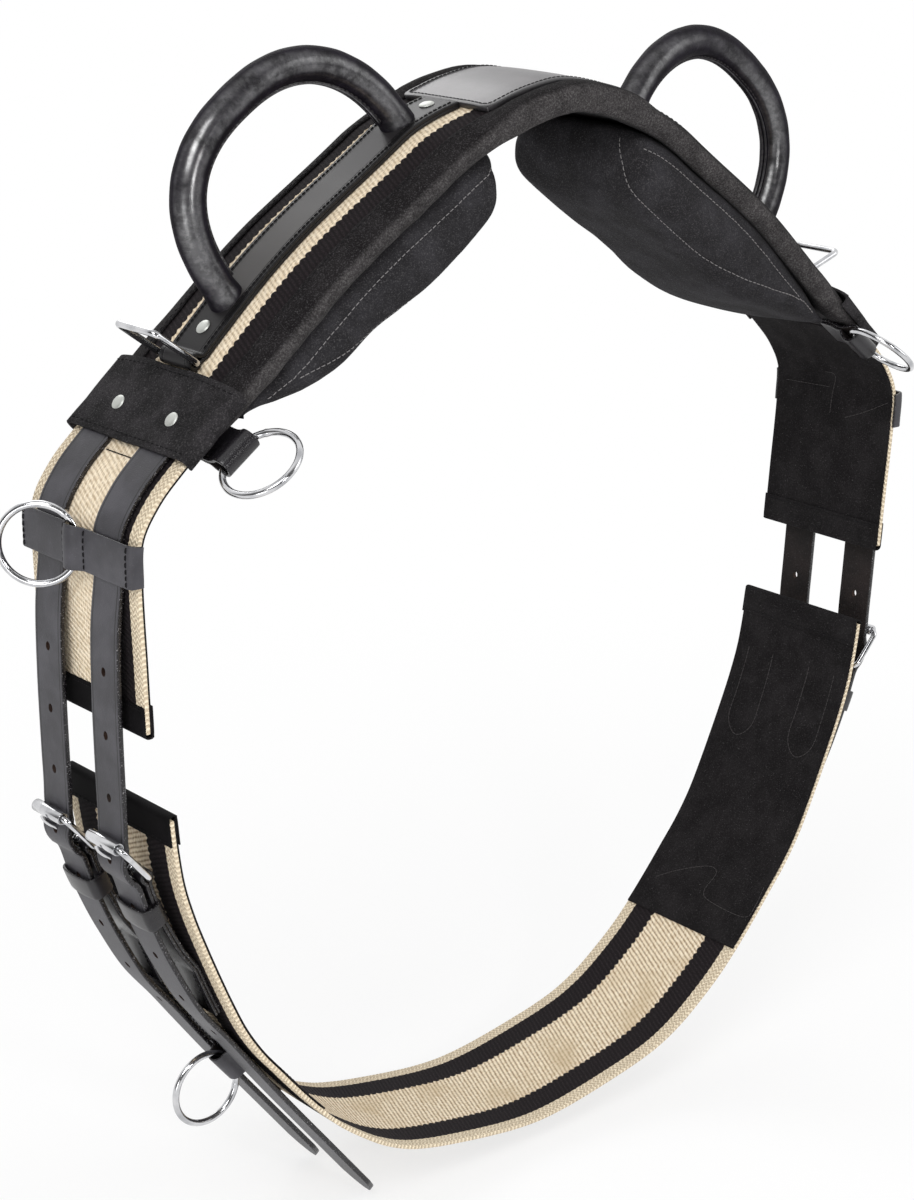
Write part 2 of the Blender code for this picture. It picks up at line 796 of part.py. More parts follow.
def arch(sign):
    """Points of a handle's centre line, and its unit directions along the band and up the arch."""
    high = above_band(sign * HANDLE_TOP, GAP + STRIP_THICK)
    low = above_band(sign * HANDLE_LOW, GAP + STRIP_THICK)
    along = (high - low).normalized()
    out = Vector((-along.y, along.x)) * -sign
    if out.y < 0:
        out = -out
    lean = math.radians(HANDLE_LEAN)
    middle = in_space((high + low) / 2, 0.0)
    half = (high - low).length / 2
    along = in_space(along, 0.0)
    out = in_space(out, 0.0) * math.cos(lean) + Vector((0, math.sin(lean), 0))
    power = 2 / HANDLE_POWER
    points = []
    for angle in steps(0.0, 180.0, 19):
        c, s = math.cos(math.radians(angle)), math.sin(math.radians(angle))
        u = half * math.copysign(abs(c) ** power, c)
        v = HANDLE_RISE * abs(s) ** power
        height = ease(v / HANDLE_RISE)
        points.append(middle - along * (u + HANDLE_SAG * height) + out * v)
    return points, along, out


def foot_axes(sign, s):
    """Axes at a handle foot, Z along the leg."""
    _, x_axis, z_axis = arch(sign)
    at = above_band(sign * s, GAP + STRIP_THICK)
    return axes(in_space(at, 0.0) + DROP, x_axis, z_axis.cross(x_axis), z_axis)


def make_handle(side, sign):
    points, _, out = arch(sign)
    sink = STRIP_THICK - PLATE_THICK * 0.5
    rod_line = [points[0] - out * sink] + points[1:-1] + [points[-1] - out * sink]
    rod_path = [p + DROP for p in rod_line]
    rod = to_mesh(tube(f"handle_rod_{side}", rod_path, ROD_DIAMETER))
    start, end = plate_ends()
    plate_shape = outline(band_ribbon(sign * start, sign * end, GAP, GAP + PLATE_THICK))
    plate = flat_shape(f"handle_frame_{side}", [plate_shape], PLATE_WIDTH, upright(0.0))
    join(plate, rod)
    for s in rivet_places():
        bore = 2 * around(RIVET_SHANK / 2 + PIN_PLAY, 8)
        cut(plate, cylinder(f"plate_rivet_hole_{side}", bore, 0.02, band_axes(sign * s, 0.0, 0.0), 8))
    finish(plate, STEEL)
    cover_line = [points[0] - out * 0.003] + points[1:-1] + [points[-1] - out * 0.003]
    cover_path = [p + DROP for p in cover_line]
    cover = to_mesh(tube(f"handle_cover_{side}", cover_path, HANDLE_DIAMETER, resolution=3, caps=False))
    wall = cover.modifiers.new("leather", "SOLIDIFY")
    wall.thickness = (HANDLE_DIAMETER - ROD_DIAMETER) / 2 - PIN_PLAY
    wall.offset = -1
    # Its ends are cut to stand on the strip.
    seat = outline(band_ribbon(sign * STRIP_START, sign * STRIP_END, -0.012, 2 * GAP + STRIP_THICK))
    cut(cover, flat_shape(f"cover_seat_{side}", [seat], STRIP_WIDTH, upright(0.0)))
    finish(cover, GRIP)


DOME = [(math.sin(math.radians(a)), math.cos(math.radians(a))) for a in (0, 35, 65, 90)]


def rivet_profile(height, depth):
    """Domed head on top, shank down to depth, and the burr that it is clenched over."""
    head, shank, burr = RIVET_HEAD / 2, RIVET_SHANK / 2, BURR_DIAMETER / 2
    foot = -depth - BURR_THICK
    dome = [(head * x, height + RIVET_DOME * z) for x, z in DOME]
    return dome + [(shank, height), (shank, -depth), (burr, -depth), (burr, foot), (0.0, foot)]


def make_handle_rivets(side, sign):
    """Rivets through strip, steel plate and webbing, clenched over burrs that lie in the pad's top."""
    height = GAP + STRIP_THICK + GAP
    depth = WEB_THICK + GAP
    names = ("upper", "lower")
    for name, s in zip(names, rivet_places()):
        matrix = band_axes(sign * s, 0.0, 0.0)
        finish(turned(f"rivet_{name}_{side}", rivet_profile(height, depth), matrix, 10), NICKEL)
        bore = 2 * around(RIVET_SHANK / 2 + PIN_PLAY, 8)
        web_hole = cylinder(f"web_hole_{name}_{side}", bore, 0.02, matrix, 8)
        cut(bpy.data.objects["top_web"], web_hole)
        seat = BURR_THICK + GAP
        shift = Matrix.Translation((0, 0, -(depth + seat / 2)))
        width = 2 * around(BURR_DIAMETER / 2 + GAP, 10)
        pocket = cylinder(f"burr_pocket_{name}_{side}", width, seat + 0.002, matrix @ shift, 10)
        cut(bpy.data.objects["base_pad"], pocket)


def make_patch(side, sign):
    """Suede over the joint of band and flap, lapped round both edges, with its two rivets."""
    under = 2 * GAP + BILLET_THICK
    top = under + PATCH_THICK
    edge = PATCH_WIDTH / 2
    inner = edge - PATCH_THICK
    hem = -(WEB_THICK + GAP)
    half = [(y, top) for y in widths(0.0, edge - 0.004)]
    half += [(edge, top - 0.004), (edge, hem), (inner, hem), (inner, under - 0.002)]
    half += [(y, under) for y in reversed(widths(0.0, inner - 0.002))]
    sections = []
    for s in TOP.between(sign * PATCH_START, sign * PATCH_END):
        right = [on_band(s, y, lift) for y, lift in half]
        left = [on_band(s, -y, lift) for y, lift in reversed(half[1:-1])]
        sections.append(right + left)
    patch = loft(f"patch_{side}", sections)
    head = RIVET_HEAD / 2
    profile = [(head * x, RIVET_DOME * z) for x, z in DOME]
    profile += [(head, -PATCH_THICK * 0.6), (0.0, -PATCH_THICK * 0.6)]
    for row in ROWS.values():
        matrix = band_axes(sign * PATCH_RIVET_AT, row * PATCH_RIVET_SPACING / 2, top)
        join(patch, turned(f"patch_rivet_{side}", profile, matrix, 10))
    finish(patch, SUEDE)


def make_flap(side, sign):
    start, end = sign * FLAP_START, sign * FLAP_HEM
    loop = outline(ribbon(TOP, start, end, -WEB_THICK, 0.0))
    finish(flat_shape(f"side_flap_{side}", [loop], WEB_WIDTH, upright(0.0)), WEBBING)
    low = -(WEB_THICK + GAP)
    loop = outline(ribbon(TOP, start, end, low - LINING_THICK, low))
    finish(flat_shape(f"flap_lining_{side}", [loop], WEB_WIDTH - 2 * GAP, upright(0.0)), SUEDE)


def frame_point(along, out):
    """A point of the buckle's own plane: along from the roller towards the heel bar, and out of the frame."""
    roller, heel = Vector(ROLLER_AT), Vector(HEEL_AT)
    down = (heel - roller).normalized()
    outside = Vector((-down.y, down.x))
    return roller + down * along + outside * out


def frame_length():
    return (Vector(HEEL_AT) - Vector(ROLLER_AT)).length


def billet_landing():
    """Length on the girth where the right-hand billets come down on it."""
    return GIRTH.nearest(BILLET_KEEPER_LINE[-1]) - BILLET_LANDING


def billet_line(side):
    """A billet's own way between flap and girth: behind the roller, and out over the heel bar."""
    centre = GAP + BILLET_THICK / 2
    behind = ROLLER_DIAMETER / 2 + PIN_PLAY + BILLET_THICK / 2
    over = FRAME_WIRE / 2 + PIN_PLAY + PRONG_WIRE + GAP + BILLET_THICK / 2
    heel = frame_length()
    start = [tuple(TOP.offset(FLAP_HEM - BILLET_FREE, centre))]
    buckle = [
        frame_point(0.0025, -behind),
        frame_point(0.0075, -0.0028),
        frame_point(0.0125, 0.0040),
        frame_point(0.0185, over - 0.0002),
        frame_point(0.0255, over + 0.0009),
        frame_point(heel + 0.0015, over + 0.0006),
    ]
    landing = tuple(GIRTH.offset(billet_landing(), centre + 0.0005))
    tail = LEFT_TAIL_LINE if side == "left" else [landing]
    points = start + BILLET_GAP_LINE + [tuple(p) for p in buckle] + BILLET_KEEPER_LINE + tail
    return Line(points, 0.04, 0.12)


def cut_to_point(strap, matrix, half):
    """Trims a strap's end to a blunt point; matrix is at the tip, X along the strap, Y across it."""
    loop = [(-TIP_LENGTH, half + 0.0004), (-0.45 * TIP_LENGTH, 0.74 * half), (-0.12 * TIP_LENGTH, 0.34 * half)]
    loop += [(0.002, 0.08 * half), (0.006, 0.08 * half), (0.006, half + 0.004), (-TIP_LENGTH, half + 0.004)]
    for _ in range(2):
        loop = [(x, -y) for x, y in loop]
        cut(strap, flat_shape(f"{strap.name}_trim", [loop], 0.02, matrix))


def tip_axes(line, s, sign, y, towards):
    """Axes at the length s of a line: X along it, forwards or back as towards is 1 or -1."""
    point, direction, outward = line.place(s)
    along = Vector((sign * direction.x, 0, direction.y)) * towards
    out = Vector((sign * outward.x, 0, outward.y))
    return axes(mirrored_point(point, sign, y), along, out.cross(along), out)


def make_billet(side, sign, row, y):
    line = billet_line(side)
    half = BILLET_THICK / 2
    pairs = ribbon(TOP, BILLET_ROOT, FLAP_HEM - BILLET_FREE, GAP, GAP + BILLET_THICK)[:-1]
    pairs += ribbon(line, 0.0, line.end(), -half, half)
    tip = tip_axes(line, line.end(), sign, y, 1)
    if side == "right":
        down = billet_landing()
        last = down - BILLET_TAIL
        pairs = pairs[:-1] + ribbon(GIRTH, down, last, GAP, GAP + BILLET_THICK)
        tip = tip_axes(GIRTH, last, sign, y, -1)
    billet = flat_shape(f"billet_{side}_{row}", [outline(pairs, sign)], BILLET_WIDTH, upright(y))
    cut_to_point(billet, tip, BILLET_WIDTH / 2)
    prong_at = line.nearest(frame_point(0.0125, 0.0040))
    for i in range(-HOLES_ABOVE, HOLES_BELOW + 1):
        s = prong_at + i * HOLE_PITCH
        if i == 0 or s > line.end() - TIP_LENGTH - HOLE_DIAMETER:
            continue
        point, direction, outward = line.place(s)
        along = Vector((sign * direction.x, 0, direction.y))
        out = Vector((sign * outward.x, 0, outward.y))
        at = mirrored_point(point, sign, y)
        bore = 2 * around(HOLE_DIAMETER / 2, 6)
        cut(billet, cylinder(f"hole_{side}_{row}", bore, 0.012, axes(at, along, out.cross(along), out), 6))
    lie = Matrix.Rotation(math.pi / 2, 4, "Y")
    matrix = buckle_axes(sign, y) @ Matrix.Translation((0.0125, 0, 0.0042)) @ lie
    cut(billet, cylinder(f"prong_hole_{side}_{row}", 2 * around(PRONG_HOLE / 2, 8), 0.016, matrix, 8))
    finish(billet, STRAP)


def mirrored_point(flat, sign, y):
    return Vector((sign * flat.x, y, flat.y)) + DROP


def buckle_axes(sign, y):
    """Origin on the roller; X down to the heel bar, Y across the strap, Z out of the frame."""
    roller = mirrored_point(frame_point(0.0, 0.0), sign, y)
    down = (mirrored_point(frame_point(1.0, 0.0), sign, y) - roller).normalized()
    out = (mirrored_point(frame_point(0.0, 1.0), sign, y) - roller).normalized()
    return axes(roller, down, out.cross(down), out)


def rounded_rectangle(length, width, corner, count=3):
    """Centre-line points of a frame from x = 0 to length, centred on y = 0."""
    half = width / 2
    points = []
    for cx, cy, start in (
        (length - corner, half - corner, 0),
        (corner, half - corner, 90),
        (corner, corner - half, 180),
        (length - corner, corner - half, 270),
    ):
        points += arc((cx, cy), corner, start, start + 90, count)
    return points


def make_buckle(side, sign, row, y):
    matrix = buckle_axes(sign, y)
    heel = frame_length()
    loop = rounded_rectangle(heel, FRAME_WIDTH - FRAME_WIRE, 0.0035)
    frame = tube(f"buckle_frame_{side}_{row}", [(px, py, 0.0) for px, py in loop], FRAME_WIRE, closed=True)
    frame.matrix_world = matrix
    finish(to_mesh(frame), NICKEL)
    bore = FRAME_WIRE / 2 + PIN_PLAY
    outer = ROLLER_DIAMETER / 2
    half = ROLLER_LENGTH / 2
    profile = [(bore, half), (outer, half), (outer, -half), (bore, -half), (bore, half)]
    lay = Matrix.Rotation(-math.pi / 2, 4, "X")
    finish(turned(f"roller_{side}_{row}", profile, matrix @ lay, 14), NICKEL)
    bend = FRAME_WIRE / 2 + PIN_PLAY + PRONG_WIRE / 2
    loop = [(x, 0.0, z) for x, z in arc((0.0, 0.0), bend, 155, 455, 11)]
    rest = ROLLER_DIAMETER / 2 + PIN_PLAY + PRONG_WIRE / 2
    shaft = [
        (-0.006, 0.0, bend + 0.0001),
        (-0.013, 0.0, bend - 0.0002),
        (0.011 - heel, 0.0, bend - 0.0001),
        (0.006 - heel, 0.0, rest - 0.0008),
        (0.001 - heel, 0.0, rest),
        (-0.003 - heel, 0.0, rest - 0.0006),
    ]
    prong = tube(f"prong_{side}_{row}", list(reversed(shaft)) + list(reversed(loop)), PRONG_WIRE)
    prong.matrix_world = matrix @ Matrix.Translation((heel, 0, 0))
    finish(to_mesh(prong), NICKEL)


def make_chape(side, sign, row, y):
    """Doubled leather from the girth round the heel bar, slotted for the prong, with its keeper."""
    centre = GAP + CHAPE_THICK / 2
    half = CHAPE_THICK / 2
    start = GIRTH.nearest(CHAPE_LINE[-1]) - CHAPE_LANDING
    end = start - CHAPE_SEAT
    line = Line([HEEL_AT] + CHAPE_LINE + [tuple(GIRTH.offset(start, centre))], 0.02, 0.3)
    pairs = ribbon(line, 0.0, line.end(), -half, half)[:-1]
    pairs += ribbon(GIRTH, start, end, GAP, GAP + CHAPE_THICK)
    chape = flat_shape(f"chape_{side}_{row}", [outline(pairs, sign)], BILLET_WIDTH, upright(y))
    bar = FRAME_WIRE / 2 + PIN_PLAY
    heel = across_axes((sign * HEEL_AT[0], HEEL_AT[1]), y)
    roll = 2 * (bar + CHAPE_LEATHER)
    join(chape, cylinder(f"chape_roll_{side}_{row}", roll, BILLET_WIDTH - 2 * GAP, heel, 12))
    keeper = keeper_ring(side, sign, row, y, line)
    join(chape, keeper)
    cut(chape, cylinder(f"chape_bore_{side}_{row}", 2 * around(bar, 12), BILLET_WIDTH * 1.2, heel, 12))
    at_heel = buckle_axes(sign, y) @ Matrix.Translation((frame_length(), 0, 0))
    cut(chape, block(f"crew_slot_{side}_{row}", (CREW_SLOT_LENGTH, CREW_SLOT, 0.03), at_heel))
    finish(chape, STRAP)


def keeper_ring(side, sign, row, y, line):
    """The loop that holds the billet down on the chape."""
    point, direction, outward = line.place(KEEPER_AT)
    along = Vector((sign * direction.x, 0, direction.y))
    out = Vector((sign * outward.x, 0, outward.y))
    matrix = axes(mirrored_point(point, sign, y), out, along.cross(out), along)
    half = BILLET_WIDTH / 2 + 0.001
    inner_low = -CHAPE_THICK / 2 + GAP
    inner_high = CHAPE_THICK / 2 + BILLET_THICK + KEEPER_SLACK
    wall = KEEPER_LEATHER
    outer = box_loop(inner_low - wall, inner_high + wall, half + wall, 0.002)
    inner = box_loop(inner_low, inner_high, half, 0.0007)
    ring = flat_shape(f"keeper_{side}_{row}", [outer, inner], KEEPER_WIDTH, matrix)
    return ring


def box_loop(low, high, half, corner):
    """A rectangle with rounded corners, from low to high in x and half to each side in y."""
    points = []
    for cx, cy, start in (
        (high - corner, half - corner, 0),
        (low + corner, half - corner, 90),
        (low + corner, corner - half, 180),
        (high - corner, corner - half, 270),
    ):
        points += arc((cx, cy), corner, start, start + 90, 3)
    return points


def make_crosspiece(side, sign):
    """Leather across both billets, sewn round the flap's edges, with a channel down its middle for a ring."""
    under = GAP + BILLET_THICK + GAP
    top = under + CROSS_LEATHER
    edge = EDGE + GAP
    outer_edge = edge + CROSS_LEATHER
    hem = -WEB_THICK
    axis = RING_BORE  # so that the ring just clears the billets
    bore = around(RING_BORE, 20)
    shell = bore + TAB_LEATHER
    dip = math.degrees(math.asin((axis - under) / bore)) if axis > under else 0.0
    rise = math.degrees(math.asin((top - axis) / shell))
    over = [(x, y) for x, y in arc((0.0, axis), shell, rise, 180 - rise, 11)]
    below = [(x, y) for x, y in arc((0.0, axis), bore, 180 + dip, -dip, 11)]
    turn = [(outer_edge, hem), (outer_edge, top - 0.0015), (outer_edge - 0.0015, top)]
    loop = turn + over + [(-x, z) for x, z in reversed(turn)]
    loop += [(-edge, hem), (-edge, under)] + below + [(edge, under), (edge, hem)]
    point, direction, outward = TOP.place(sign * (FLAP_HEM - CROSS_AT))
    out = in_space(outward, 0.0)
    along = in_space(direction, 0.0)
    matrix = axes(in_space(point, 0.0) + DROP, along.cross(out) * -1, out, (along.cross(out) * -1).cross(out))
    finish(flat_shape(f"crosspiece_{side}", [loop], CHANNEL - 2 * GAP, matrix), STRAP)
    hinge = in_space(point + outward * axis, 0.0) + DROP
    swing = math.radians(CROSS_RING_SWING)
    ring_out = out * math.cos(swing) + Vector((0, 1, 0)) * math.sin(swing)
    round_ring(f"cross_ring_{side}", hinge, along, ring_out)


def tab_loop(neck_length, neck_half):
    """Outline of a folded tab: a round eye on the axis and a flat neck that runs back from it."""
    shell = RING_BORE + TAB_LEATHER
    turn = 180 - math.degrees(math.asin(neck_half / shell))
    eye = arc((0, 0), shell, turn, -turn, 17)
    return [(-neck_length, neck_half)] + eye + [(-neck_length, -neck_half)]


def make_front_tab(side, sign):
    """The rolled tab at the front edge that carries a ring, sewn under the end of the pad."""
    point, direction, outward = TOP.place(sign * FRONT_TAB_AT)
    out = in_space(outward, 0.0)
    along = in_space(direction, 0.0)
    front = Vector((0, -1, 0))
    neck_half = TAB_LEATHER
    # The neck's middle plane lies just under the pad where the tab's upper end is.
    lift = pad_underside(FRONT_TAB_AT - CHANNEL / 2) - GAP - neck_half
    reach = EDGE + RIM_OVERHANG + RING_BORE + FRONT_TAB_OUTSET
    hinge = in_space(point, 0.0) + out * lift + front * reach + DROP
    matrix = axes(hinge, front, out, front.cross(out))
    loops = [tab_loop(FRONT_TAB_NECK, neck_half), arc((0, 0), around(RING_BORE, 16), 0, 337.5, 16)]
    finish(flat_shape(f"front_ring_tab_{side}", loops, CHANNEL - 2 * GAP, matrix), STRAP)
    droop = math.radians(FRONT_RING_DROOP)
    ring_out = front * math.cos(droop) - out * math.sin(droop)
    round_ring(f"front_ring_{side}", hinge, along, ring_out)


def make_girth():
    loop = outline(ribbon(GIRTH, -GIRTH_END, GIRTH_END, -WEB_THICK, 0.0))
    finish(flat_shape("girth_web", [loop], WEB_WIDTH, upright(0.0)), WEBBING)
    low = -(WEB_THICK + GAP)
    start = GIRTH_END - GIRTH_LINING_START
    for side, sign in SIDES.items():
        loop = outline(ribbon(GIRTH, sign * start, sign * GIRTH_END, low - LINING_THICK, low))
        finish(flat_shape(f"girth_lining_{side}", [loop], WEB_WIDTH - 2 * GAP, upright(0.0)), SUEDE)


def make_girth_tab(side, sign):
    """A leather strip on the girth between the billets, folded up into a channel for the lower ring."""
    half = GIRTH_TAB_LENGTH / 2
    middle = GIRTH_END - GIRTH_TAB_AT
    pairs = ribbon(GIRTH, middle - half, middle + half, GAP, GAP + GIRTH_TAB_THICK)
    tab = flat_shape(f"girth_ring_tab_{side}", [outline(pairs, sign)], GIRTH_TAB_WIDTH, upright(0.0))
    for towards in (-1, 1):
        tip = tip_axes(GIRTH, middle + towards * half, sign, 0.0, towards)
        cut_to_point(tab, tip, GIRTH_TAB_WIDTH / 2)
    point, direction, outward = GIRTH.place(sign * middle)
    out = in_space(outward, 0.0)
    along = in_space(direction, 0.0)
    shell = RING_BORE + TAB_LEATHER
    lift = GAP + GIRTH_TAB_THICK * 0.5 + shell
    hinge = in_space(point, 0.0) + out * lift + DROP
    matrix = axes(hinge, out, along.cross(out), along)
    sleeve = flat_shape(f"girth_sleeve_{side}", [arc((0, 0), shell, 0, 337.5, 16)], CHANNEL - 2 * GAP, matrix)
    join(tab, sleeve)
    cut(tab, cylinder(f"girth_bore_{side}", 2 * around(RING_BORE, 16), CHANNEL * 1.4, matrix, 16))
    finish(tab, STRAP)
    round_ring(f"girth_ring_{side}", hinge, along, out)


def make_square_ring(side, sign):
    """The square ring in a handle strip's folded end; its origin is on the bar in the fold."""
    centre = square_ring_axis(sign)
    lean = SQUARE_RING_LEFT if sign < 0 else SQUARE_RING_RIGHT
    out = Vector((lean[0], 0, lean[1])).normalized()
    axis = Vector((0, 1, 0))
    span = SQUARE_RING - RING_WIRE
    loop = rounded_rectangle(span, span, SQUARE_CORNER, 4)
    ring = tube(f"square_ring_{side}", [(px, py, 0.0) for px, py in loop], RING_WIRE, closed=True)
    ring.matrix_world = axes(in_space(centre, 0.0) + DROP, out, axis, out.cross(axis))
    finish(to_mesh(ring), NICKEL)


make_band()
make_girth()
for side_name, side_sign in SIDES.items():
    make_panel(side_name, side_sign)
    make_strip(side_name, side_sign)
    make_handle(side_name, side_sign)
    make_handle_rivets(side_name, side_sign)
    make_square_ring(side_name, side_sign)
    make_patch(side_name, side_sign)
    make_flap(side_name, side_sign)
    make_crosspiece(side_name, side_sign)
    make_front_tab(side_name, side_sign)
    make_girth_tab(side_name, side_sign)
    for row_name, row_sign in ROWS.items():
        across = row_sign * BILLET_SPACING / 2
        make_billet(side_name, side_sign, row_name, across)
        make_buckle(side_name, side_sign, row_name, across)
        make_chape(side_name, side_sign, row_name, across)

for made in PARTS.objects:
    if made.type == "MESH":
        made.data.shade_smooth()
        made.data.set_sharp_from_angle(angle=math.radians(35))
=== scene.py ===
# %% [markdown]
# # A lunging surcingle
# A surcingle is a wide strap buckled round a horse. This one is webbing and suede,
# with leather straps, two hand loops over the withers and ring after ring for the lines.
# The measured model is loaded first, as a fixed frame. Every piece made below takes
# its place from that frame, so nothing has to be fitted by eye.

# %% The frame
import json
import math

import bpy
import numpy as np
from mathutils import Matrix, Vector


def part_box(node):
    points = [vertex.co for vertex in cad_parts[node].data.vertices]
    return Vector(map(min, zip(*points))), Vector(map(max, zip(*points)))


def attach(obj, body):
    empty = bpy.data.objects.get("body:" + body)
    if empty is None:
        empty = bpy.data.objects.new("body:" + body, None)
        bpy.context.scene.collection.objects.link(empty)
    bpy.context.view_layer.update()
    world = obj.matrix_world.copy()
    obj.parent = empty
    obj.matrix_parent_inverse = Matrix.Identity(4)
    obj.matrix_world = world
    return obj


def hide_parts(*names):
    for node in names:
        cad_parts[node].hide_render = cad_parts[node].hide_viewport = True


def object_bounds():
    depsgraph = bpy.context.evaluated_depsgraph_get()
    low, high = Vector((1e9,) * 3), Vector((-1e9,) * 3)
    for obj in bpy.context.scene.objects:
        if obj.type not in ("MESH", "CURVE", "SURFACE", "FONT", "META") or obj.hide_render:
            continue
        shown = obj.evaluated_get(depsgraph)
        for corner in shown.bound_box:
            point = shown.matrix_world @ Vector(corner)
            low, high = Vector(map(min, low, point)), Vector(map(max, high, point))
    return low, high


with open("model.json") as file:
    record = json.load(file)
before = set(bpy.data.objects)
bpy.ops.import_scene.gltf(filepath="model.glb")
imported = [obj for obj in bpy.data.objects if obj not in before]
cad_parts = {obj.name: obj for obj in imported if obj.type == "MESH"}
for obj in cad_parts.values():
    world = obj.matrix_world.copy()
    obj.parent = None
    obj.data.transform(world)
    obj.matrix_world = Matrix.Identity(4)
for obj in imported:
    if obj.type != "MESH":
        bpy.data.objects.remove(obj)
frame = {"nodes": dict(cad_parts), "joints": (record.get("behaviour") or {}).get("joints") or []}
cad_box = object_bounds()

# %% [markdown]
# ## Camera, floor and light
# The camera stands where the photographer stood: a little above the middle of the band,
# 42 degrees round from the front. The lens follows from the size of the surcingle in the frame.
# The light is that of a plain white studio: a pale surround, a wide lamp high on the left,
# weaker ones on the right, behind and low down, and a small one near the hand loops, whose
# streaks on them show how glossy the leather is.

# %% Camera
TURN, TILT, ROLL = (math.radians(angle) for angle in (41.62, 17.589, 1.5115))
CAMERA_AT = (-1.11659, -1.20952, 0.18257)
LENS, SENSOR = 75.6, 36  # in mm


def camera_axes():
    """Right, up and backward directions of the camera."""
    ahead = Vector((math.sin(TURN) * math.cos(TILT), math.cos(TURN) * math.cos(TILT), -math.sin(TILT)))
    level = Vector((math.cos(TURN), -math.sin(TURN), 0))
    above = level.cross(ahead)
    right = level * math.cos(ROLL) + above * math.sin(ROLL)
    return right, above * math.cos(ROLL) - level * math.sin(ROLL), -ahead


def standing(place, axes):
    """The matrix that stands a thing at a place, its X, Y and Z along three directions."""
    return Matrix.Translation(place) @ Matrix(axes).transposed().to_4x4()


def take(piece=None):
    """Leaves object mode with one piece active and selected, or none."""
    if bpy.context.object and bpy.context.object.mode != "OBJECT":
        bpy.ops.object.mode_set(mode="OBJECT")
    bpy.ops.object.select_all(action="DESELECT")
    if piece:
        bpy.context.view_layer.objects.active = piece
        piece.select_set(True)


take()
bpy.ops.object.camera_add(location=CAMERA_AT)
camera = bpy.context.object
camera.matrix_world = standing(CAMERA_AT, camera_axes())
camera.data.lens = LENS
camera.data.sensor_width = SENSOR
camera.data.clip_end = 60
bpy.context.scene.camera = camera
bpy.context.scene.view_settings.view_transform = "Standard"
print("camera", [round(v, 3) for v in camera.location])

# %% [markdown]
# ## Wiring a material
# Shader maths reads best as plain sums. `Wire` stands for a socket, and the usual signs between
# wires or numbers add Math nodes. `Finish` is one material: `put` adds any other node,
# its settings first and then what its sockets hold.

# %% Wire and Finish
class Wire:
    """A socket of a material, with + - * and ** as Math nodes."""

    def __init__(self, finish, socket):
        self.finish = finish
        self.socket = socket

    def math(self, how, *others, first=None):
        values = [self if first is None else first, *others]
        return self.finish.put("Math", {"operation": how}, dict(enumerate(values)))

    def __add__(self, other):
        return self.math("ADD", other)

    def __sub__(self, other):
        return self.math("SUBTRACT", other)

    def __rsub__(self, other):
        return self.math("SUBTRACT", self, first=other)

    def __mul__(self, other):
        return self.math("MULTIPLY", other)

    def __pow__(self, other):
        return self.math("POWER", other)

    __radd__ = __add__
    __rmul__ = __mul__

    def size(self):
        return self.math("ABSOLUTE")

    def wave(self):
        return self.math("SINE")

    def rise(self, low, high):
        """0 below low, 1 above high, smooth between."""
        settings = {"interpolation_type": "SMOOTHSTEP"}
        return self.finish.put("MapRange", settings, {0: self, 1: low, 2: high})


class Finish:
    """A material built node by node. Its noise lies on Object coordinates, or on the piece's map."""

    def __init__(self, name, mapped=False):
        self.material = bpy.data.materials.new(name)
        self.wire(self.material, "Principled BSDF")
        self.here = self.map_place() if mapped else self.put("TexCoord", out="Object")

    def wire(self, owner, shader):
        owner.use_nodes = True
        self.tree = owner.node_tree
        self.shader = self.tree.nodes[shader]

    def fill(self, socket, value):
        if isinstance(value, Wire):
            self.tree.links.new(value.socket, socket)
        elif value is not None:
            socket.default_value = value

    def put(self, kind, settings=None, values=None, out=0):
        node = self.tree.nodes.new("ShaderNode" + kind)
        for key, value in (settings or {}).items():
            setattr(node, key, value)
        for key, value in (values or {}).items():
            self.fill(node.inputs[key], value)
        return Wire(self, node.outputs[out])

    def set(self, **values):
        """Fills the shader's own sockets: base_color=..., roughness=... and so on."""
        for key, value in values.items():
            self.fill(self.shader.inputs[key.replace("_", " ").title().replace("Ior", "IOR")], value)
        return self.material

    def map_place(self):
        """How far along and across the piece a point is, in metres, from its own UV map."""
        return self.put("UVMap", {"uv_map": "UVMap"})

    def along_across(self):
        node = self.put("SeparateXYZ", values={0: self.map_place()}).socket.node
        return [Wire(self, node.outputs[i]) for i in range(2)]

    def rays(self, kind):
        """1 for rays of a kind and 0 for the others."""
        return self.put("LightPath", out=f"Is {kind} Ray")

    def noise(self, scale, detail=2.0, roughness=0.5, stretch=None):
        place = self.here
        if stretch:
            place = self.put("Mapping", values={"Vector": place, "Scale": stretch})
        values = {"Vector": place, "Scale": scale, "Detail": detail, "Roughness": roughness}
        return self.put("TexNoise", values=values)

    def mix(self, share, one, two):
        one, two = [(*c, 1) if isinstance(c, tuple) else c for c in (one, two)]
        return self.put("Mix", {"data_type": "RGBA"}, {0: share, 6: one, 7: two}, out=2)

    def relief(self, height, strength, distance):
        return self.put("Bump", None, {"Height": height, "Strength": strength, "Distance": distance})


def seen(*levels):
    """A colour as it looks on a screen, 0 to 255, as the shader wants it."""
    parts = [level / 255 for level in levels]
    return tuple(p / 12.92 if p < 0.04045 else ((p + 0.055) / 1.055) ** 2.4 for p in parts)


# %% Floor and surround
FLOOR_REACH, FLOOR_GAP = 40.0, 0.002
SHADOW_SHARE = 0.30  # how much of the floor's own light the camera sees near the object
WORLD_LIGHT = 0.55
DARK_ROOM = 0.12  # what polished metal sees on the photographer's side

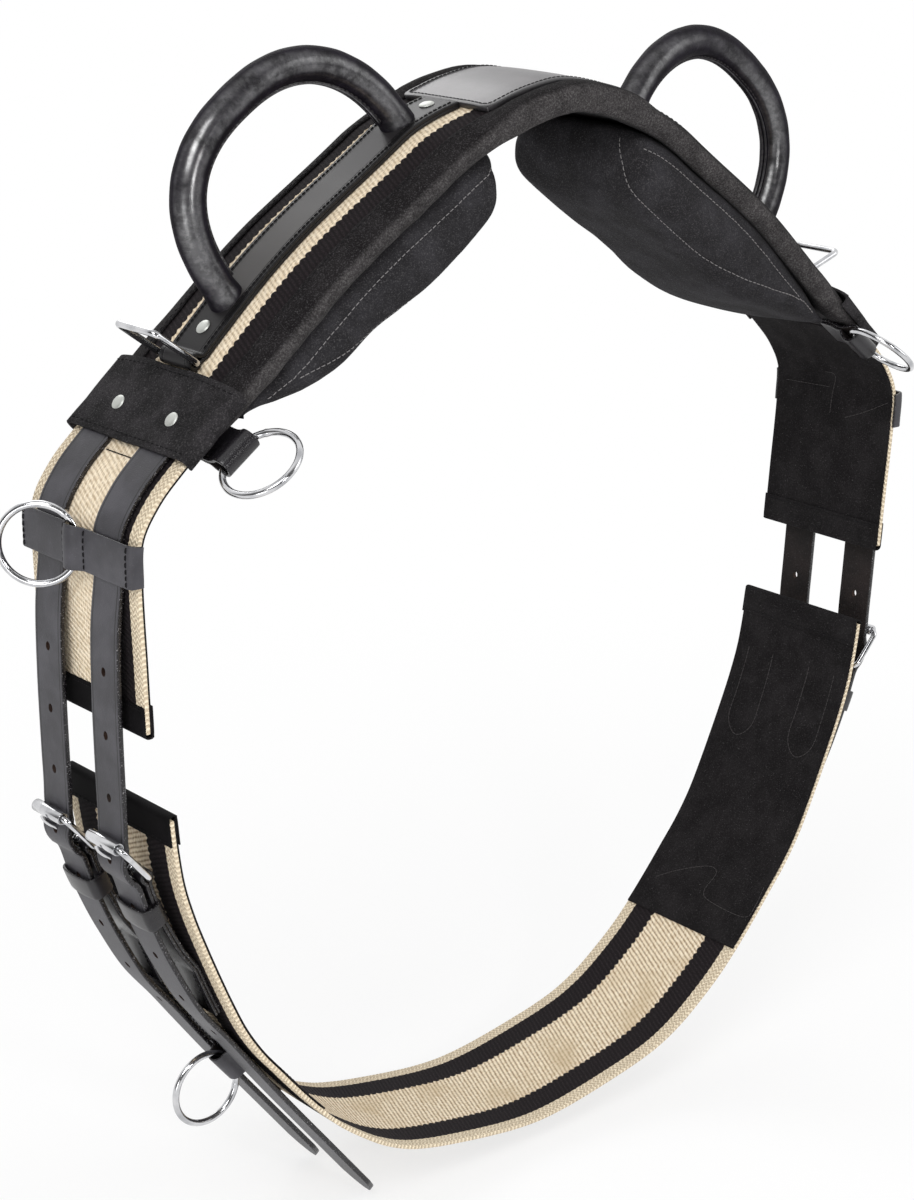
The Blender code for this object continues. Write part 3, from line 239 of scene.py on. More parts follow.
take()
bpy.ops.mesh.primitive_grid_add(x_subdivisions=8, y_subdivisions=8, size=FLOOR_REACH, location=(0, 0, 0))
floor = bpy.context.object
floor.name = "floor"
bpy.ops.object.mode_set(mode="EDIT")
bpy.ops.transform.translate(value=(0, 0, cad_box[0].z - FLOOR_GAP))
bpy.ops.object.mode_set(mode="OBJECT")
paper = Finish("floor_paper")
paper.set(base_color=(0.94, 0.94, 0.94, 1), roughness=0.9)
glow = paper.put("Emission", values={"Color": (1, 1, 1, 1), "Strength": 1.0})
direct = paper.rays("Camera").math("MAXIMUM", paper.rays("Glossy"))
far = paper.put("VectorMath", {"operation": "LENGTH"}, {0: paper.here}, out=1).rise(0.55, 1.5)
plain = far * SHADOW_SHARE + (1 - SHADOW_SHARE)
shown = paper.put("MixShader", None, {0: direct * plain, 1: Wire(paper, paper.shader.outputs[0]), 2: glow})
paper.tree.links.new(shown.socket, paper.tree.nodes["Material Output"].inputs["Surface"])
floor.data.materials.append(paper.material)


class Surround(Finish):
    """The world, wired like a material."""

    def __init__(self, name):
        self.material = bpy.data.worlds.new(name)
        self.wire(self.material, "Background")


studio = Surround("studio")
bpy.context.scene.world = studio.material
whole = studio.rays("Camera").math("MAXIMUM", studio.rays("Transmission"))
gloss = studio.rays("Glossy")
towards = (math.sin(TURN), math.cos(TURN), 0.30)
ahead = studio.put("VectorMath", {"operation": "DOT_PRODUCT"}, {0: studio.put("TexCoord"), 1: towards}, out=1)
mirrored = ahead.rise(-0.30, 0.30) * (1 - DARK_ROOM) + DARK_ROOM
strength = whole + (1 - whole) * (gloss * mirrored + (1 - gloss) * WORLD_LIGHT)
studio.set(color=(1, 1, 1, 1), strength=strength)

# %% Lamps
LAMPS = {  # place, size in metres and power in watts
    "key": ((-2.4, -1.5, 2.2), 1.6, 60),
    "near": ((-0.45, -1.75, 0.25), 0.22, 5.5),
    "fill": ((2.0, -2.4, 1.2), 2.0, 22),
    "back": ((0.8, 2.6, 1.8), 1.8, 26),
    "low": ((-2.2, -1.2, -0.45), 0.9, 9),
}
MIDDLE = Vector((0, 0, -0.35))
for name, (place, size, power) in LAMPS.items():
    take()
    bpy.ops.object.light_add(type="AREA", location=place)
    light = bpy.context.object
    light.name, light.data.size, light.data.energy = name, size, power
    light.rotation_euler = (MIDDLE - Vector(place)).to_track_quat("-Z", "Y").to_euler()
print("lamps", len(LAMPS))

# %% [markdown]
# ## Webbing
# The webbing is woven jute: a cream ground, two broad dark stripes whose edges step with the
# weave, and a coarser cream selvedge. The pattern could be painted, but it is plain counting:
# every colour depends only on the distance from the middle, and every rib on both distances.
# So the pattern is made of sums on the piece's own map, which is in metres.

# %% Webbing
CREAM, CREAM_DEEP, FLECK = seen(250, 236, 212), seen(228, 209, 180), seen(146, 122, 93)
STRIPE, STRIPE_RIB_SHEEN, SELVEDGE = seen(25, 21, 23), seen(52, 46, 48), seen(240, 226, 200)
STAIN, DIRT = seen(196, 174, 140), seen(84, 70, 56)
STRIPE_IN, STRIPE_OUT, CRISP = 0.0285, 0.0475, 0.0004  # from the middle of the webbing
STEP_PITCH, STEP_DEEP = 0.0055, 0.0017
RIB_PITCH, RIB_SLANT, PLAIT_PITCH = 0.0034, 0.45, 0.0045


def webbing(name, stain, trough_shade):
    made = Finish(name, mapped=True)
    along, across = made.along_across()
    out = across.size()
    pull = made.noise(150) - 0.5
    scallop = ((along + pull * 0.0016) * (math.pi / STEP_PITCH)).wave().size() * STEP_DEEP
    rag = (made.noise(900) - 0.5) * 0.0007
    inner, outer = out + scallop + rag, out - scallop + rag
    stripe = inner.rise(STRIPE_IN, STRIPE_IN + CRISP) * (1 - outer.rise(STRIPE_OUT, STRIPE_OUT + CRISP))
    border = (out + scallop * 0.3).rise(STRIPE_OUT, STRIPE_OUT + CRISP)
    plait = (out * (2 * math.pi / PLAIT_PITCH)).wave() * 0.0011
    courses = (along - across * RIB_SLANT + pull * 0.0014, along + plait + pull * 0.003)
    ribs, cord = ((course * (2 * math.pi / RIB_PITCH)).wave() * 0.5 + 0.5 for course in courses)
    yarn = made.noise(300, 3.0, 0.65, (0.7, 2.6, 1.0))
    fibre = made.noise(850, 3.0, 0.7)
    cloud = made.noise(22, 3.0)
    ground = made.mix(yarn.rise(0.40, 0.62), CREAM, CREAM_DEEP)
    ground = made.mix(fibre.rise(0.60, 0.72) * 0.60, ground, FLECK)
    # painted shade in the troughs between the ribs, mixed with darker yarn
    ground = made.mix((1 - ribs) ** 1.6 * (yarn.rise(0.30, 0.60) * 0.5 + trough_shade), ground, FLECK)
    ground = made.mix(cloud.rise(0.48, 0.72) * stain, ground, STAIN)
    # painted shade between the cords of the selvedge
    edge = made.mix((1 - cord) * 0.55, SELVEDGE, FLECK)
    edge = made.mix(fibre.rise(0.58, 0.68) * 0.60, edge, DIRT)
    # painted sheen: the dark stripe is lighter on the crests of its ribs
    dark = made.mix(ribs * fibre.rise(0.35, 0.75), STRIPE, STRIPE_RIB_SHEEN)
    colour = made.mix(border, made.mix(stripe, ground, dark), edge)
    bump = made.relief(ribs * (1 - border) + cord * border * 1.6 + fibre * 0.7, 0.8, 0.0006)
    return made.set(base_color=colour, roughness=0.92, specular_ior_level=0.15, normal=bump)


BAND_WEAVE = webbing("jute_band", 0.20, 0.10)
GIRTH_WEAVE = webbing("jute_girth", 0.55, 0.45)
print("webbing repeats every", RIB_PITCH, "m")

# %% [markdown]
# ## Suede
# Suede has no shine of its own. What tells it from black paint is lint: short pale fibres,
# patches where the nap lies the other way, and, on the wrap round the pad, a painted highlight along its rolled edge.
# Object coordinates carry the nap, because it has no direction to follow.

# %% Suede
GRAIN_GREY, LINT_GREY = seen(96, 94, 96), seen(118, 116, 116)
FUZZ_GREY, RIDGE_HIGHLIGHT_GREY = seen(104, 102, 102), seen(100, 97, 97)


def suede(name, dark, light, pale, fold=None):
    """pale is how much grain shows; fold is how far from the middle the painted highlight along a rolled edge lies.
    """
    made = Finish(name)
    nap = made.noise(46, 3.0, 0.62)
    grain = made.noise(1100, 2.0, 0.7)
    lint = made.noise(1500, 1.0, 0.4, (1.0, 0.5, 1.5))
    fuzz = made.noise(760, 3.0, 0.8)
    colour = made.mix(nap.rise(0.34, 0.70), dark, light)
    colour = made.mix(grain.rise(0.50, 0.78) * pale, colour, GRAIN_GREY)
    colour = made.mix(lint.rise(0.73, 0.77) * 0.5, colour, LINT_GREY)
    colour = made.mix(fuzz.rise(0.58, 0.70) * (pale * 0.7), colour, FUZZ_GREY)
    colour = made.mix((1 - fuzz.rise(0.34, 0.46)) * 0.7, colour, dark)
    if fold:
        across, _ = made.along_across()
        # painted highlight along the rolled edge of the wrap, broken up by noise
        highlight_break = made.noise(70).rise(0.30, 0.75) * 0.5 + 0.5
        ridge = across.size().rise(fold - 0.0042, fold - 0.0006) * highlight_break * (fuzz.rise(0.42, 0.66) * 0.7 + 0.3)
        colour = made.mix(ridge * (grain * 0.7 + 0.35), colour, RIDGE_HIGHLIGHT_GREY)
    bump = made.relief(grain + nap * 0.8, 0.5, 0.0006)
    return made.set(base_color=colour, roughness=0.96, specular_ior_level=0.15, normal=bump)


SUEDE = suede("black_suede", seen(25, 24, 25), seen(46, 44, 46), 0.55)
SUEDE_PANEL = suede("panel_suede", seen(32, 31, 33), seen(46, 45, 48), 0.5)
SUEDE_RIM = suede("suede_rim", seen(18, 16, 17), seen(32, 30, 31), 0.45, 0.0602)
SUEDE_LINING = suede("suede_lining", seen(18, 16, 17), seen(30, 28, 29), 0.18)

# %% [markdown]
# ## Leather
# Strap leather is dyed grey-black and waxed: a fine pebbled grain, an even half shine, and cut
# edges burnished near black, with a speckle of painted highlight glints. The hand loops are a softer hide with
# a purple cast, pale streaks that are part scuffing and part painted highlight, and a thin gloss that shows in
# streaks where the leather turns away.

# %% Leather
def leather(name, dark, light, rough, grain_scale=1500, grain=0.35, mottle=0.12, shine=0.35):
    made = Finish(name)
    cloud = made.noise(34, 3.0, 0.6)
    cells = made.put("TexVoronoi", {"feature": "SMOOTH_F1"}, {"Vector": made.here, "Scale": grain_scale})
    fine = made.noise(900, 2.0, 0.6)
    colour = made.mix(cloud.rise(0.30, 0.72), dark, light)
    colour = made.mix(fine.rise(0.60, 0.80) * mottle, colour, seen(170, 168, 172))
    roughness = cloud * 0.16 + fine * 0.10 + (rough - 0.13)
    bump = made.relief(cells + fine * 0.5, grain, 0.0003)
    return made.set(base_color=colour, specular_ior_level=shine, roughness=roughness, normal=bump)


def strip_leather(name, middle, lit, rim, lines):
    """Grey along its middle, with a painted sheen lighter towards the lower foot and painted shade at both ends;
    darker beyond rim, with two pressed lines on each side.
    """
    made = Finish(name)
    cloud, fine = made.noise(34, 3.0, 0.6), made.noise(1200, 2.0, 0.6)
    along, across = made.along_across()
    out = across.size()
    # painted sheen: the middle grows lighter towards the lower foot
    grey = made.mix(along.rise(0.05, 0.16), seen(32, 30, 32), seen(64, 62, 61))
    grey = made.mix(cloud.rise(0.35, 0.70) * 0.3, grey, seen(60, 58, 59))
    # painted shade: darker towards both ends, beyond the lit middle
    ends = (along - middle).size().rise(lit - 0.018, lit + 0.006)
    colour = made.mix(ends * 0.85, grey, seen(24, 23, 25))
    colour = made.mix(out.rise(rim - 0.0006, rim + 0.0004) * 0.9, colour, seen(16, 15, 17))
    height = fine * 0.3
    for where in lines:
        line = 1 - (out - where).size().rise(0.0003, 0.0007)
        colour = made.mix(line, colour, seen(9, 8, 9))
        height = height - line * 2
    bump = made.relief(height, 0.4, 0.0003)
    return made.set(base_color=colour, specular_ior_level=0.16, roughness=cloud * 0.14 + 0.30, normal=bump)


def cut_edge(name, dark, light):
    """The burnished black edge of a strap, with painted highlight glints speckled over it."""
    made = Finish(name)
    glint_speck = made.noise(1100, 3.0, 0.75)
    streak = made.noise(300, 2.0, 0.6)
    # painted highlight: pale glints speckled over the black edge
    colour = made.mix(glint_speck.rise(0.60, 0.70) * 0.8, dark, light)
    return made.set(base_color=colour, roughness=0.16 + streak * 0.2, normal=made.relief(glint_speck, 0.4, 0.0004))


def grip(name, dark, light, scuff_and_highlight):
    """The hide of the hand loops."""
    made = Finish(name)
    cloud = made.noise(60, 4.0, 0.62)
    pore = made.noise(750, 2.0, 0.6)
    scuff = made.noise(300, 3.0, 0.7, (1.0, 0.5, 1.0))
    colour = made.mix(cloud.rise(0.32, 0.68), dark, light)
    # pale purple streaks: part scuffing, part painted highlight
    colour = made.mix(scuff.rise(0.56, 0.80) * 0.14, colour, scuff_and_highlight)
    facing = 1 - made.put("LayerWeight", values={"Blend": 0.5}, out=1)
    patchy = cloud.rise(0.34, 0.60) * 0.45 + scuff.rise(0.42, 0.62) * 0.30 + 0.30
    return made.set(
        base_color=colour, roughness=0.62 + cloud * 0.1, specular_ior_level=0.12,
        coat_weight=facing.rise(0.50, 0.95) * patchy, coat_roughness=0.28, coat_ior=2.4,
        normal=made.relief(pore * 0.4 + cloud * 2.2, 0.5, 0.0009),
    )


STRAP = leather("strap_leather", seen(52, 51, 55), seen(74, 73, 78), 0.46)
STRAP_EDGE = cut_edge("strap_edge", seen(18, 16, 19), seen(176, 174, 177))
STRAP_BACK = leather("strap_back", seen(22, 19, 19), seen(38, 32, 31), 0.74, 900, 0.6, shine=0.2)
STRAP_LINE = leather("strap_line", seen(12, 11, 13), seen(22, 21, 24), 0.40)
SMOOTH_GREY = leather("smooth_grey", seen(80, 78, 80), seen(102, 99, 101), 0.36, 2200, 0.14, 0.04, 0.5)
STRIP_TOP = strip_leather("strip_top", 0.113, 0.088, 0.0128, (0.0122, 0.0155))
TAB_BLACK = leather("tab_leather", seen(20, 18, 21), seen(34, 32, 36), 0.30, 1500, 0.3, 0.05, 0.5)
BRIDGE_EDGE = leather("bridge_edge", seen(40, 39, 41), seen(60, 58, 60), 0.36, 2200, 0.2, 0.05, 0.45)
HOLE_BROWN = leather("hole_brown", seen(28, 20, 16), seen(58, 38, 28), 0.8)
BINDING = leather("black_binding", seen(12, 11, 12), seen(22, 20, 22), 0.80, 1500, 0.25, 0.03, 0.1)
GRIP = grip("grip_leather", seen(14, 11, 17), seen(26, 22, 31), seen(96, 90, 106))

# %% [markdown]
# ## Metal and thread
# The rings are nickel on steel, polished: almost a mirror, with fine wiping scratches that
# only change the roughness. Thread is twisted, so each stitch is given its own small body
# later and a waxy near-black finish here.

# %% Metal and thread
def metal(name, dark, light, rough):
    made = Finish(name)
    wipe = made.noise(420, 3.0, 0.65, (1.0, 0.25, 1.0))
    pit = made.noise(90)
    colour = made.mix(pit.rise(0.35, 0.75), light, dark)
    bump = made.relief(wipe * 0.6 + pit * 0.4, 0.10, 0.0004)
    return made.set(base_color=colour, metallic=1.0, roughness=wipe * 0.10 + pit * 0.06 + rough, normal=bump)


def thread(name, colour, light):
    made = Finish(name)
    twist = made.noise(1800)
    bump = made.relief(twist, 0.3, 0.0002)
    return made.set(base_color=made.mix(twist, colour, light), roughness=0.7, specular_ior_level=0.15, normal=bump)


NICKEL = metal("polished_nickel", seen(176, 177, 180), seen(214, 214, 216), 0.08)
RIVET = metal("rivet_nickel", seen(186, 188, 184), seen(208, 210, 205), 0.42)
STEEL = metal("plain_steel", seen(130, 130, 132), seen(160, 160, 163), 0.35)
THREAD = thread("black_thread", seen(9, 8, 9), seen(22, 21, 23))
THREAD_DIM = thread("dim_thread", seen(44, 42, 43), seen(76, 73, 73))
THREAD_GREY = thread("grey_thread", seen(96, 94, 96), seen(150, 147, 146))
print("finishes", len(bpy.data.materials))

# %% [markdown]
# ## The course of the straps
# Everything soft here is a strap that follows a line. It is far easier to model a strap lying
# flat, as it is cut on the bench: x is the distance along it, y across it and z its height over
# the webbing. A second step then lays the flat piece on its line, as sewing does.
# A Curve modifier could bend it, but it doesn't know the crown of the stuffed band,
# so the points are moved by a rule.

# %% Smooth lines
def through(points, gaps=12):
    """Points of a smooth curve through the given ones."""
    p = np.array(points, float)
    p = np.vstack([2 * p[0] - p[1], p, 2 * p[-1] - p[-2]])
    t = np.arange(gaps)[:, None] / gaps
    parts = []
    for a, b, c, d in zip(p, p[1:], p[2:], p[3:]):
        square, cube = 2 * a - 5 * b + 4 * c - d, 3 * b - a - 3 * c + d
        parts.append(0.5 * (2 * b + (c - a) * t + square * t**2 + cube * t**3))
    return np.vstack(parts + [p[-2][None]])


def run_lengths(points):
    return np.r_[0.0, np.cumsum(np.linalg.norm(np.diff(points, axis=0), axis=1))]


def between(points, lengths, places):
    """Points of a broken line at the given places along it."""
    return np.column_stack([np.interp(places, lengths, column) for column in points.T])


def circle(centre, radius, start, end, count):
    angles = np.radians(np.linspace(start, end, count))
    return [(centre[0] + radius * math.cos(a), centre[1] + radius * math.sin(a)) for a in angles]


def rounded(low, high, wide, radius, count):
    """A rectangle from low to high and wide to either side, with round corners."""
    a, b, c = high - radius, low + radius, wide - radius
    turns = [((a, c), 0), ((b, c), 90), ((b, -c), 180), ((a, -c), 270)]
    return [point for centre, start in turns for point in circle(centre, radius, start, start + 90, count)]


class Way:
    """A line in a plane. Lengths run along it, and lift stands off to its outer side."""

    def __init__(self, points, lengths=None, side=1):
        self.points = np.array(points, float)
        self.lengths = run_lengths(self.points) if lengths is None else lengths
        self.slopes = np.gradient(self.points, self.lengths, axis=0)
        self.side = side

    def at(self, s):
        """Points, and unit directions outwards, at the lengths s."""
        s = np.atleast_1d(np.asarray(s, float))
        held = np.clip(s, self.lengths[0], self.lengths[-1])
        i = np.clip(np.searchsorted(self.lengths, held, side="right") - 1, 0, len(self.lengths) - 2)
        gap = (self.lengths[i + 1] - self.lengths[i])[:, None]
        t = (held - self.lengths[i])[:, None] / gap
        a, b, m, n = self.points[i], self.points[i + 1], self.slopes[i] * gap, self.slopes[i + 1] * gap
        place = (2 * t**3 - 3 * t**2 + 1) * a + (t**3 - 2 * t**2 + t) * m
        place = place + (3 * t**2 - 2 * t**3) * b + (t**3 - t**2) * n
        ahead = (6 * t**2 - 6 * t) * (a - b) + (3 * t**2 - 4 * t + 1) * m + (3 * t**2 - 2 * t) * n
        ahead /= np.linalg.norm(ahead, axis=1)[:, None]
        outward = np.column_stack([-ahead[:, 1], ahead[:, 0]]) * self.side
        return place + ahead * (s - held)[:, None], outward

    def off(self, s, lift):
        place, outward = self.at(s)
        return place + outward * np.reshape(lift, (-1, 1))

    def end(self):
        return self.lengths[-1]

    def nearest(self, target):
        tries = np.linspace(self.lengths[0], self.lengths[-1], 3000)
        return float(tries[np.argmin(np.linalg.norm(self.at(tries)[0] - np.array(target), axis=1))])


def both_halves(points, longest, side):
    """A Way through the points and their mirror image, with lengths from the middle."""
    dense = through([(-x, z) for x, z in reversed(points[1:])] + list(points))
    lengths = run_lengths(dense)
    count = 2 * math.ceil(lengths[-1] / longest / 2) + 1
    stations = between(dense, lengths, np.linspace(0, lengths[-1], count))
    along = run_lengths(stations)
    return Way(stations, along - along[-1] / 2, side)


TOP_POINTS = [
    (0.0, 0.0), (0.027, -0.004), (0.063, -0.017), (0.121, -0.056), (0.177, -0.094), (0.227, -0.135),
    (0.284, -0.176), (0.318, -0.206), (0.3355, -0.230), (0.3375, -0.261), (0.3350, -0.3085), (0.3325, -0.3560),
]
GIRTH_POINTS = [
    (0.0, -0.723), (0.068, -0.715), (0.125, -0.701), (0.167, -0.676), (0.199, -0.648),
    (0.236, -0.606), (0.262, -0.571), (0.293, -0.504), (0.310, -0.456), (0.317, -0.409),
]
STATION = 0.025
TOP = both_halves(TOP_POINTS, STATION, 1)
GIRTH = both_halves(GIRTH_POINTS, STATION, -1)
HEM, GIRTH_END = TOP.end(), GIRTH.end()
print("half of the band", round(HEM, 4), "half of the girth", round(GIRTH_END, 4))

# %% The crown of the stuffed band
DROP = 0.0088  # the origin is the underside of the pad at the withers
WEB_HALF, WEB_THICK, GAP = 0.0565, 0.003, 0.0003
CROWN_WITHERS, CROWN_FULL = 0.006, 0.017
FLAT_HALF = 0.019
CROWN_SPAN = 0.0505


def ease(t):
    t = np.clip(t, 0.0, 1.0)
    return t * t * (3 - 2 * t)


def crown(s, y):
    """Rise of the band over its line, and how steeply it falls across the band."""
    s, beyond = np.abs(s), np.maximum(np.abs(y) - FLAT_HALF, 0) / CROWN_SPAN
    high = CROWN_WITHERS + (CROWN_FULL - CROWN_WITHERS) * ease((s - 0.045) / 0.065)
    high = high * np.cos(np.clip((s - 0.235) / 0.1125, 0, 1) * math.pi / 2)
    return high * (1 - beyond**2), -np.sign(y) * high * 2 * beyond / CROWN_SPAN


def in_space(flat, y):
    return np.column_stack([flat[:, 0], y, flat[:, 1] + DROP])


def on_band(p):
    """Lays flat points (along, across, lift) on the crowned band."""
    s, y, lift = p.T
    place, outward = TOP.at(s)
    high, fall = crown(s, y)
    steep = np.sqrt(1 + fall**2)
    moved = place + outward * (high + lift / steep)[:, None]
    return in_space(moved, y - lift * fall / steep)


def on_way(way, sign=1, across=0.0):
    """A rule that lays flat points on a strap's own line; sign -1 is the left side."""
    def surface(p):
        s, y, lift = p.T
        return in_space(way.off(s, lift) * (sign, 1), y + across)
    return surface


on_girth = on_way(GIRTH)


def bent(way):
    """A rule that bends a flat piece along its own cross-section: x and z become the line's plane."""
    def turn(p):
        flat = way.off(p[:, 0], p[:, 2])
        return np.column_stack([flat[:, 0], p[:, 1], flat[:, 1]])
    return turn


def across_strap(surface, middle):
    """A rule for a piece bent in the plane of width and lift: lays it at a length along a strap."""
    def lay(p):
        return surface(np.column_stack([middle + p[:, 1], p[:, 0], p[:, 2]]))
    return lay


print("crown at the withers and at a handle", CROWN_WITHERS, float(np.round(crown(0.1, 0.0)[0], 4)))

# %% [markdown]
# ## Cutting and laying straps
# A strap starts as a grid at its size. Faces are removed where it is punched or slotted, the rest
# is extruded to its thickness, and the sharp edges are bevelled, because no cut leather edge
# is sharp. Its map is written while it is still flat, so one unit of the map is one metre.

# %% Flat straps
STEEP = 0.6  # a face whose normal leans less than this up or down is an edge


def choose(piece, test):
    """Selects the faces whose centre passes the test, in edit mode."""
    bpy.ops.object.mode_set(mode="OBJECT")
    mesh = piece.data
    mesh.vertices.foreach_set("select", np.zeros(len(mesh.vertices), bool))
    mesh.edges.foreach_set("select", np.zeros(len(mesh.edges), bool))
    mesh.polygons.foreach_set("select", [bool(test(*f.center.xy)) for f in mesh.polygons])
    bpy.ops.object.mode_set(mode="EDIT")
    bpy.ops.mesh.select_mode(type="FACE")


def span(size):
    """From and to: a pair as it is, the whole of a Way, or a number to either side of the middle."""
    if isinstance(size, Way):
        return 0, size.end()
    return size if isinstance(size, (tuple, list)) else (-size, size)


def blank(name, along, across, lift, cell=0.004, without=None, soften=0.0005, rows=None):
    """A flat strap between two lengths, two widths and two lifts."""
    take()
    along, across, lift = span(along), span(across), span(lift)
    length, width = along[1] - along[0], across[1] - across[0]
    counts = max(2, round(length / (rows or cell))), max(2, round(width / cell))
    bpy.ops.mesh.primitive_grid_add(x_subdivisions=counts[0], y_subdivisions=counts[1], size=1)
    piece = bpy.context.object
    piece.name = piece.data.name = name
    bpy.ops.object.mode_set(mode="EDIT")
    bpy.ops.transform.resize(value=(length, width, 1))
    bpy.ops.transform.translate(value=(sum(along) / 2, sum(across) / 2, lift[0]))
    if without:
        choose(piece, without)
        bpy.ops.mesh.delete(type="FACE")
        bpy.ops.mesh.select_all(action="SELECT")
    bpy.ops.mesh.extrude_region_move(TRANSFORM_OT_translate={"value": (0, 0, lift[1] - lift[0])})
    bpy.ops.mesh.select_all(action="SELECT")
    bpy.ops.mesh.normals_make_consistent(inside=False)
    if soften:
        bpy.ops.mesh.select_all(action="DESELECT")
        bpy.ops.mesh.select_mode(type="EDGE")
        bpy.ops.mesh.edges_select_sharp(sharpness=math.radians(60))
        bpy.ops.mesh.bevel(offset=soften, segments=2, affect="EDGES")
    bpy.ops.object.mode_set(mode="OBJECT")
    return piece


def points_of(piece, what="co"):
    flat = np.empty(len(piece.data.vertices) * 3, np.float32)
    piece.data.vertices.foreach_get(what, flat)
    return flat.reshape(-1, 3).astype(float)


def move(piece, surface):
    """Moves every point of a piece by a rule on its place."""
    moved = surface(points_of(piece))
    piece.data.vertices.foreach_set("co", np.asarray(moved, np.float32).ravel())
    piece.data.update()
    return piece


def measure(piece):
    """Writes the piece's map: one unit is one metre, as it lies flat."""
    mesh = piece.data
    layer = mesh.uv_layers.get("UVMap") or mesh.uv_layers.new(name="UVMap")
    corner = np.empty(len(mesh.loops), np.int32)
    mesh.loops.foreach_get("vertex_index", corner)
    layer.data.foreach_set("uv", points_of(piece)[corner][:, :2].astype(np.float32).ravel())
    return piece


def paint(piece, *finishes, rule=None):
    """Gives the piece its materials; rule says which one a face takes, from its centre and normal."""
    piece.data.materials.clear()
    for finish in finishes:
        piece.data.materials.append(finish)
    if rule:
        piece.data.polygons.foreach_set("material_index", [rule(f.center, f.normal) for f in piece.data.polygons])
    return piece


def strap_faces(crease=None, near=0.0006):
    """A rule that tells a strap's face, 0, from its cut edges, 1, its back, 2, and a creased line, 3."""
    def rule(centre, normal):
        if abs(normal.z) < STEEP:
            return 1
        if normal.z < 0:
            return 2
        return 3 if crease and abs(abs(centre.y) - crease) < near else 0
    return rule


def outwards(piece):
    """Merges what touches and turns all faces outwards."""
    take(piece)
    bpy.ops.object.mode_set(mode="EDIT")
    bpy.ops.mesh.select_all(action="SELECT")
    bpy.ops.mesh.remove_doubles(threshold=1e-6)
    bpy.ops.mesh.normals_make_consistent(inside=False)
    bpy.ops.object.mode_set(mode="OBJECT")
    return piece


def apply(piece, kind, **settings):
    """Adds a modifier and applies it."""
    take(piece)
    step = piece.modifiers.new(kind.lower(), kind)
    for key, value in settings.items():
        setattr(step, key, value)
    bpy.ops.object.modifier_apply(modifier=step.name)


PIECES = []


def sew_on(piece, slot, node=None, body="surcingle", degrees=40):
    """The last step of every piece: smooth shading, its body, and hiding the node it stands for; slot is not used."""
    take(piece)
    bpy.ops.object.shade_smooth_by_angle(angle=math.radians(degrees))
    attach(piece, body)
    if node:
        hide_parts(node)
    PIECES.append(piece)


def lay(piece, finishes, *steps, slot="strap_leather", node=None, rule=None, degrees=40):
    """A flat piece's map and materials, then each step in turn, and its place in the model."""
    paint(measure(piece), *finishes, rule=rule)
    for step in steps:
        if step in (outwards, measure):
            step(piece)
        else:
            move(piece, step)
    sew_on(piece, slot, node, degrees=degrees)


# %% [markdown]
# ## Stitches
# A stitch is a short length of thread that dives into the leather at both ends. One is
# modelled, with few faces, and copied along every seam.

# %% Stitches
STITCH_SIDES = 6
STITCH_RINGS = [(-0.5, -0.7, 0.75), (-0.30, 0.45, 1.0), (0.30, 0.45, 1.0), (0.5, -0.7, 0.75)]  # along, up, size


def unit(rows):
    return rows / np.linalg.norm(rows, axis=1)[:, None]


def stitches(name, surface, routes, pitch, long, thick=0.00036, finish=THREAD):
    """Rows of stitches along flat routes, all one piece."""
    turns = np.linspace(0, 2 * math.pi, STITCH_SIDES, endpoint=False)
    verts, faces, n = [], [], STITCH_SIDES
    for route in routes:
        way = np.array(route, float)
        run = run_lengths(way)
        count = max(1, int(run[-1] / pitch))
        starts = (np.arange(count) + 0.5) * run[-1] / count
        here = [between(way, run, starts + d) for d in (-long / 2, long / 2)]
        a, b = surface(here[0]), surface(here[1])
        up, ahead = unit(surface(here[0] + (0, 0, 0.001)) - a), unit(b - a)
        aside = np.cross(ahead, up)
        for i in range(count):
            base = len(verts)
            for at, rise, size in STITCH_RINGS:
                centre = a[i] + (b[i] - a[i]) * (at + 0.5) + up[i] * rise * thick
                for turn in turns:
                    verts.append(centre + (aside[i] * math.cos(turn) + up[i] * math.sin(turn)) * thick * size)
            for one in range(base, base + 3 * n, n):
                for k in range(n):
                    m = (k + 1) % n
                    faces.append((one + k, one + n + k, one + n + m, one + m))
            faces.append(tuple(base + k for k in range(n)))
            faces.append(tuple(base + 3 * n + k for k in reversed(range(n))))
    mesh = bpy.data.meshes.new(name)
    mesh.from_pydata([tuple(v) for v in verts], [], faces)
    piece = bpy.data.objects.new(name, mesh)
    bpy.context.scene.collection.objects.link(piece)
    sew_on(paint(outwards(piece), finish), "strap_leather")


# %% [markdown]
# ## The band
# The top band is the webbing, a felt pad under it, and suede that wraps the pad and laps
# over the webbing's edges. The wrap is modelled as what it is, a strip bent round the rim,
# so its soft round edge comes by itself.

# %% Webbing and pad
SIDES = {"left": -1, "right": 1}
ROWS = {"front": -1, "rear": 1}
BAND_END, PAD_END, PAD_HALF, PAD_THICK = 0.3475, 0.345, 0.0572, 0.0115
PAD_TOP = -(WEB_THICK + GAP)


def pad_share(s):
    """Thickness of the pad as a share of its full thickness."""
    return 1 - 0.652 * ease((np.abs(s) - 0.312) / 0.033)


def thin_ends(p):
    return np.column_stack([p[:, :2], PAD_TOP + (p[:, 2] - PAD_TOP) * pad_share(p[:, 0])])


band = blank("band_webbing", BAND_END, WEB_HALF, (-WEB_THICK, 0.0))
lay(band, [BAND_WEAVE], on_band, slot="webbing", node="top_web")
pad = blank("felt_pad", PAD_END, PAD_HALF, (PAD_TOP - PAD_THICK + 0.0012, PAD_TOP), soften=0.003)
lay(pad, [SUEDE], thin_ends, on_band, slot="suede", node="base_pad")
print("pad", [round(v, 3) for v in pad.dimensions])

# %% The wrap round the pad
RIM_PATH = [
    (0.0420, 0.0011), (0.0480, 0.0012), (0.0545, 0.0012), (0.0588, -0.0004),
    (0.0604, -0.0040), (0.0600, -0.0090), (0.0572, -0.0128), (0.0500, -0.0142),
]
RIM_ROLL = 0.0032  # how much higher the wrap stands beside the bridge plate


